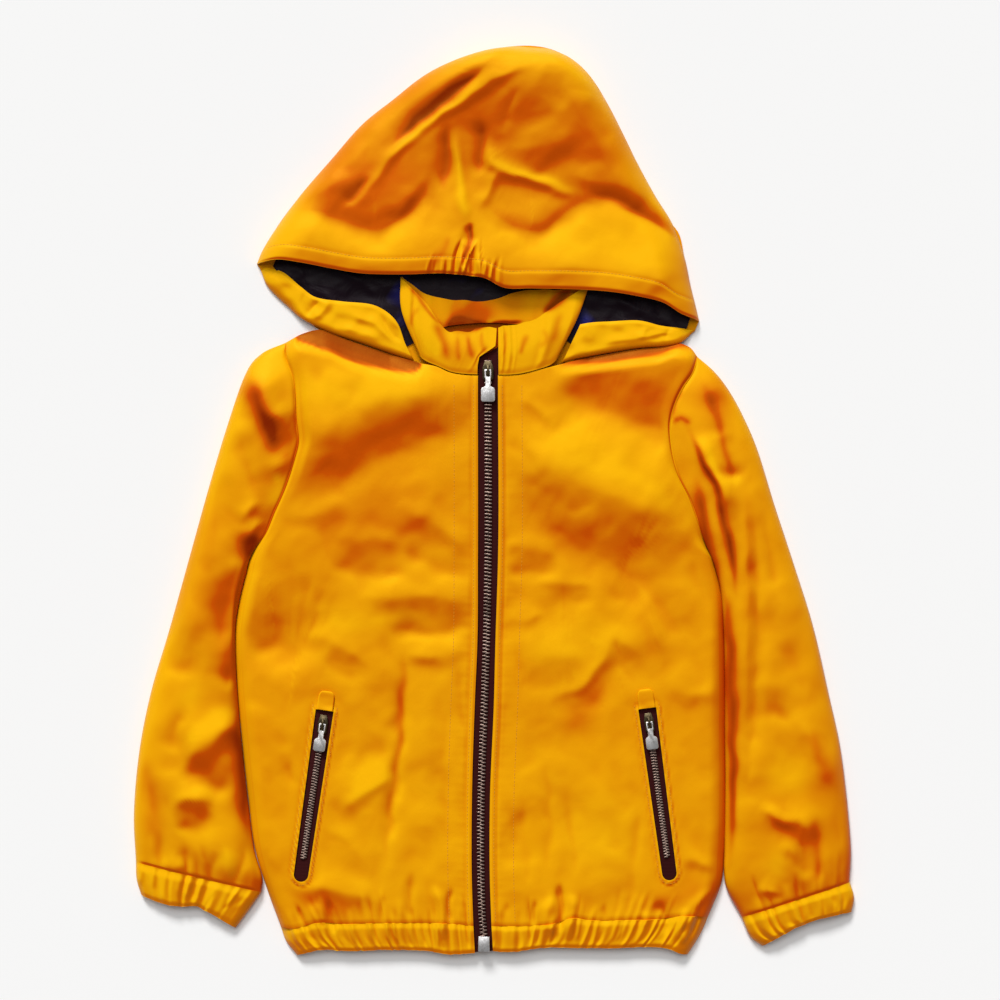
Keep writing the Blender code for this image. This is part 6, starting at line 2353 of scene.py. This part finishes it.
def rounded(node: str, crisp: float, bevel: float, segments: int, level: bool = False) -> bpy.types.Mesh:
    """A node's form with rounded edges.

    Args:
        node: the node's name.
        crisp: angle in degrees from which an edge is rounded.
        bevel: width of the rounding.
        segments: steps of the rounding.
        level: True to join facets that lie level first and to keep the roundings apart.

    Returns:
        The new mesh.
    """
    work = bmesh.new()
    work.from_mesh(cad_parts[node].data)
    bmesh.ops.remove_doubles(work, verts=work.verts, dist=1e-6)
    if level:
        bmesh.ops.dissolve_limit(work, angle_limit=np.radians(1.0), verts=work.verts, edges=work.edges)
    edges = [e for e in work.edges if len(e.link_faces) == 2 and e.calc_face_angle(0) > np.radians(crisp)]
    bmesh.ops.bevel(work, geom=edges, offset=bevel * MM, segments=segments, affect="EDGES", profile=0.5,
                    clamp_overlap=level)
    return mesh_of(node, work)


def metal_piece(name: str, body: str, finish: Finish) -> None:
    """One bevelled metal piece in the place of its node, riding on its own body.

    Args:
        name: the node's name.
        body: the body that it rides on.
        finish: its material.
    """
    form = rounded(name, crisp=20, bevel=0.28, segments=3, level=True)
    made = placed(f"{name}_metal", coated(form, finish, sharp=35))
    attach(made, body)
    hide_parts(name)
    LOG.info("%s: %d faces", made.name, len(made.data.polygons))


def build_metal(finishes: Finishes) -> None:
    """Makes every metal piece but the teeth: the box, the sliders and the pulls.

    Args:
        finishes: the coat's materials.
    """
    metal_piece("zip_slider", "coat", finishes.slider)
    metal_piece("zip_pull", "main_pull", finishes.pull)
    metal_piece("zip_box", "coat", finishes.pull)
    for side in Side:
        name = side.value
        metal_piece(f"pocket_{name}_slider", "coat", finishes.slider)
        metal_piece(f"pocket_{name}_pull", f"{name}_pocket_pull", finishes.pull)


def build_tapes(finishes: Finishes) -> None:
    """Makes the woven zip tapes with rounded long edges, in the place of their solids.

    Args:
        finishes: the coat's materials.
    """
    for name in ("zip_tape_left", "zip_tape_right", "pocket_left_tape", "pocket_right_tape"):
        form = rounded(name, crisp=40, bevel=0.22, segments=2)
        lay(placed(f"{name}_woven", coated(form, finishes.tape, sharp=45)), [name])


@dataclass
class Teeth:
    """Two rows of interlocking metal teeth on each zip.

    Attributes:
        pitch: step from tooth to tooth in one row.
        width: width of the closed chain.
        depth: size of a tooth along the zip.
        thick: height of a tooth.
        bite: how far a tooth passes the middle.
    """

    pitch: float = 2.9
    width: float = 6.0
    depth: float = 1.4
    thick: float = 1.5
    bite: float = 0.75

    def form(self, name: str, mirror: int) -> Piece:
        """One tooth whose tip points to the middle.

        Args:
            name: its name.
            mirror: -1 for the left row, 1 for the right one.

        Returns:
            The tooth's object.
        """
        near, far, half = -self.bite, self.width / 2, self.depth / 2
        tall = self.thick / 2
        outline = [(near, -0.30), (near + 0.5, -half), (far, -half * 0.8), (far, half * 0.8),
                   (near + 0.5, half), (near, 0.30)]
        points = [(mirror * x, y, z) for z in (-tall, tall) for x, y in outline]
        return block(name, points, ring_faces(2, len(outline)), 0.16)

    def build(self, repeat: Repeat, finishes: Finishes, name: str, run: Array) -> None:
        """Lays both rows along the chain of one zip in its place.

        Args:
            repeat: node tree that lays out the copies.
            finishes: the coat's materials.
            name: the chain's node.
            run: plan direction of the chain.
        """
        path = node_path(name, run)
        path[:, 2] -= self.thick / 2
        length, places = steps_of(path).sum(), column_shares(path)
        rows = []
        for mirror, shift in ((-1, 0.0), (1, 0.5)):
            form = self.form(f"{name}_tooth", mirror)
            start, end = np.array([shift * self.pitch, length]) / length
            at = np.linspace(start, end, 200)
            line = np.stack([np.interp(at, places, path[:, k]) for k in range(3)], axis=1)
            rows.append(repeat.made(f"{name}_row", [line], form, self.pitch, finishes.teeth))
            bpy.data.objects.remove(form, do_unlink=True)
        piece = joined(f"{name}_teeth", rows, finishes.teeth)
        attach(piece, "coat")
        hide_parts(name)


def joined(name: str, parts: list[Piece], finish: Finish) -> Piece:
    """Joins the parts' meshes into one object with one material.

    Args:
        name: its name.
        parts: objects, which are removed.
        finish: its material.

    Returns:
        The new object.
    """
    work = bmesh.new()
    for part in parts:
        work.from_mesh(part.data)
    mesh = coated(mesh_of(name, work), finish, 50)
    mesh.polygons.foreach_set("material_index", [0] * len(mesh.polygons))
    for part in parts:
        bpy.data.objects.remove(part, do_unlink=True)
    return placed(name, mesh)


@dataclass
class Stitching:
    """Rows of single stitches on the cloth's surface.

    Attributes:
        pitch: step from stitch to stitch.
        length: length of one stitch.
        thick: thread's thickness.
        sides: sides of the thread.
        reading_step: step at which the surface's height is read.
    """

    pitch: float = 2.9
    length: float = 2.2
    thick: float = 0.4
    sides: int = 6
    reading_step: float = 1.5

    def form(self) -> Piece:
        """One stitch: a thread that dips at both ends.

        Returns:
            The stitch's object.
        """
        rings = [(-0.5, -0.32, 0.35), (-0.44, -0.05, 0.8), (-0.25, 0.10, 1.0), (0.25, 0.10, 1.0),
                 (0.44, -0.05, 0.8), (0.5, -0.32, 0.35)]
        points = []
        for place, lift, size in rings:
            for k in range(self.sides):
                angle = 2 * np.pi * k / self.sides
                r = size * self.thick / 2
                up = r * np.sin(angle) + lift * self.thick
                points.append((place * self.length, r * np.cos(angle), up))
        return block("stitch", points, ring_faces(len(rings), self.sides), 0.0)

    def build(self, repeat: Repeat, finishes: Finishes, name: str, lines: list[Array],
              tree: BVHTree) -> None:
        """Lays stitches along plan lines on a surface.

        Args:
            repeat: node tree that lays out the copies.
            finishes: the coat's materials.
            name: its name.
            lines: plan points of each line.
            tree: ray target of the surface.
        """
        laid = []
        for line in lines:
            even = LowerLayer.resample(line, max(8, int(steps_of(line).sum() / self.reading_step)))
            heights = [height_on(tree, *p) for p in even]
            rows = [[*p, h + 0.12 * self.thick] for p, h in zip(even, heights) if h is not None]
            if len(rows) > 3:
                laid.append(np.array(rows))
        form = self.form()
        piece = repeat.made(name, laid, form, self.pitch, finishes.thread, 0.06)
        bpy.data.objects.remove(form, do_unlink=True)
        piece.data.shade_smooth()
        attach(piece, "coat")


# Stage ---------------------------------------------------------------------------------------------


@dataclass
class Studio:
    """Camera straight above a pale table, with two soft lights from the hood's side.

    Attributes:
        height: height of the camera in metres.
        centre: the camera's place across the coat in metres.
        lens: focal length in millimetres.
        floor_tone: grey of the table.
        fill: strength of the even light from all sides.
        warm: colour of both lights.
    """

    height: float = 2.4
    centre: float = 0.0048
    lens: float = 108.0
    floor_tone: float = 0.93
    fill: float = 0.21
    warm: Colour = (1.0, 0.997, 0.99)

    def camera(self) -> None:
        """Makes the camera."""
        data = bpy.data.cameras.new("camera")
        data.lens = self.lens
        data.sensor_width = 36.0
        data.clip_end = 20.0
        made = placed("camera", data)
        made.location = (self.centre, 0, self.height)
        bpy.context.scene.camera = made

    def table(self) -> None:
        """Makes the table just below the coat."""
        mesh = bpy.data.meshes.new("table")
        half, below = 6, 0.0004
        corners = [(-half, -half), (half, -half), (half, half), (-half, half)]
        mesh.from_pydata([(x, y, -below) for x, y in corners], [], [(0, 1, 2, 3)])
        shader = Shader("table")
        place = shader.place()
        grain = shader.noise(place, 3.0, 2.0)
        tone, less = (self.floor_tone,) * 3, (self.floor_tone - 0.004,) * 3
        colour = shader.mix(grain, rgba(tone), rgba(less))
        mesh.materials.append(shader.set(Base_Color=colour, Roughness=0.9))
        made = placed("table", mesh)

    def lamp(self, name: str, place: tuple[float, float, float], spread_angle: float, power: float,
             colour: Colour) -> None:
        """One wide soft light that faces the coat from the direction of `place`.

        Args:
            name: its name.
            place: a point in its direction.
            spread_angle: its width in degrees.
            power: its power.
            colour: its colour.
        """
        data = bpy.data.lights.new(name, "SUN")
        data.energy, data.angle, data.color = power, np.radians(spread_angle), colour
        made = placed(name, data)
        made.location = place
        made.rotation_euler = Vector(place).to_track_quat("Z", "Y").to_euler()

    @staticmethod
    def toward(azimuth: float, elevation: float) -> tuple[float, float, float]:
        """A place 3 m away in the given direction, in degrees."""
        a, e = np.radians((azimuth, elevation))
        return 3 * np.cos(a) * np.cos(e), 3 * np.sin(a) * np.cos(e), 3 * np.sin(e)

    def build(self) -> None:
        """Makes the whole stage."""
        self.camera()
        self.table()
        for name, azimuth, elevation, angle, light in (("key", 105, 37, 17.0, 0.48),
                                                       ("gloss", 100, 66, 34.0, 0.31)):
            power = light * np.pi / np.sin(np.radians(elevation))
            self.lamp(name, self.toward(azimuth, elevation), angle, power, self.warm)
        world = bpy.data.worlds.new("studio")
        bpy.context.scene.world = world
        world.use_nodes = True
        sky = world.node_tree.nodes["Background"]
        sky.inputs["Color"].default_value = (1.0, 1.0, 1.0, 1.0)
        sky.inputs["Strength"].default_value = self.fill
        view = bpy.context.scene.view_settings
        view.view_transform, view.look = "Standard", "None"


# Distance of the stitches from the zip's edge, of the facing's stitches from it and from a pocket window.
STITCH_PLACES = {"zip": 3.4, "facing": 19.0, "window": 2.6}


def zip_stitches() -> dict[str, list[Array]]:
    """Plan lines of the stitching beside the main zip and round the pocket windows.

    Returns:
        The lines of each half.
    """
    lines: dict[str, list[Array]] = {}
    for side, sign in ((Side.LEFT, -1), (Side.RIGHT, 1)):
        edge = along(CENTRE[side.value], np.linspace(0.02, 0.99, 60))
        beside_zip, facing = (edge + (sign * STITCH_PLACES[key], 0) for key in ("zip", "facing"))
        lines[side.value] = [beside_zip, facing, PocketOpening(side).outline(STITCH_PLACES["window"])]
    return lines


def build_coat(finishes: Finishes) -> None:
    """Makes every piece of the coat.

    Args:
        finishes: the coat's materials.
    """
    LowerLayer().build(finishes)
    panels, pockets = {}, {}
    for side in Side:
        front = FrontPanel(side)
        panels[side] = front.build(finishes)
        HemBand(side).build(finishes, front)
        sleeve = Sleeve(side)
        sleeve.body(finishes)
        sleeve.cuff(finishes)
        pockets[side] = PocketOpening(side)
        Tab(pockets[side]).build(finishes, panels[side])
    hood = Hood()
    hood.build(finishes)
    for side in Side:
        Strip(side).build(finishes)
    Collar().build(finishes)
    build_tapes(finishes)
    build_metal(finishes)
    repeat = Repeat("row_of_forms")
    Teeth().build(repeat, finishes, "zip_chain", np.array([0.0, 1.0]))
    for side in Side:
        Teeth(pitch=2.2, width=5.0).build(repeat, finishes, f"pocket_{side.value}_chain", pockets[side].run)
    seams = Repeat("row_of_stitches", "X")
    for side, lines in zip_stitches().items():
        tree = surface_tree(panels[Side(side)])
        Stitching().build(seams, finishes, f"front_{side}_stitches", lines, tree)
    line = hood.brim[..., :2][-4]
    Stitching().build(seams, finishes, "brim_stitches", [line[4:-4]], surface_tree(hood.brim))


def main() -> None:
    """Builds the scene."""
    logging.basicConfig(level=logging.INFO, format="%(message)s", stream=sys.stdout)
    finishes = Finishes.made()
    build_coat(finishes)
    Studio().build()
    bpy.context.view_layer.update()


if __name__ == "__main__":
    main()
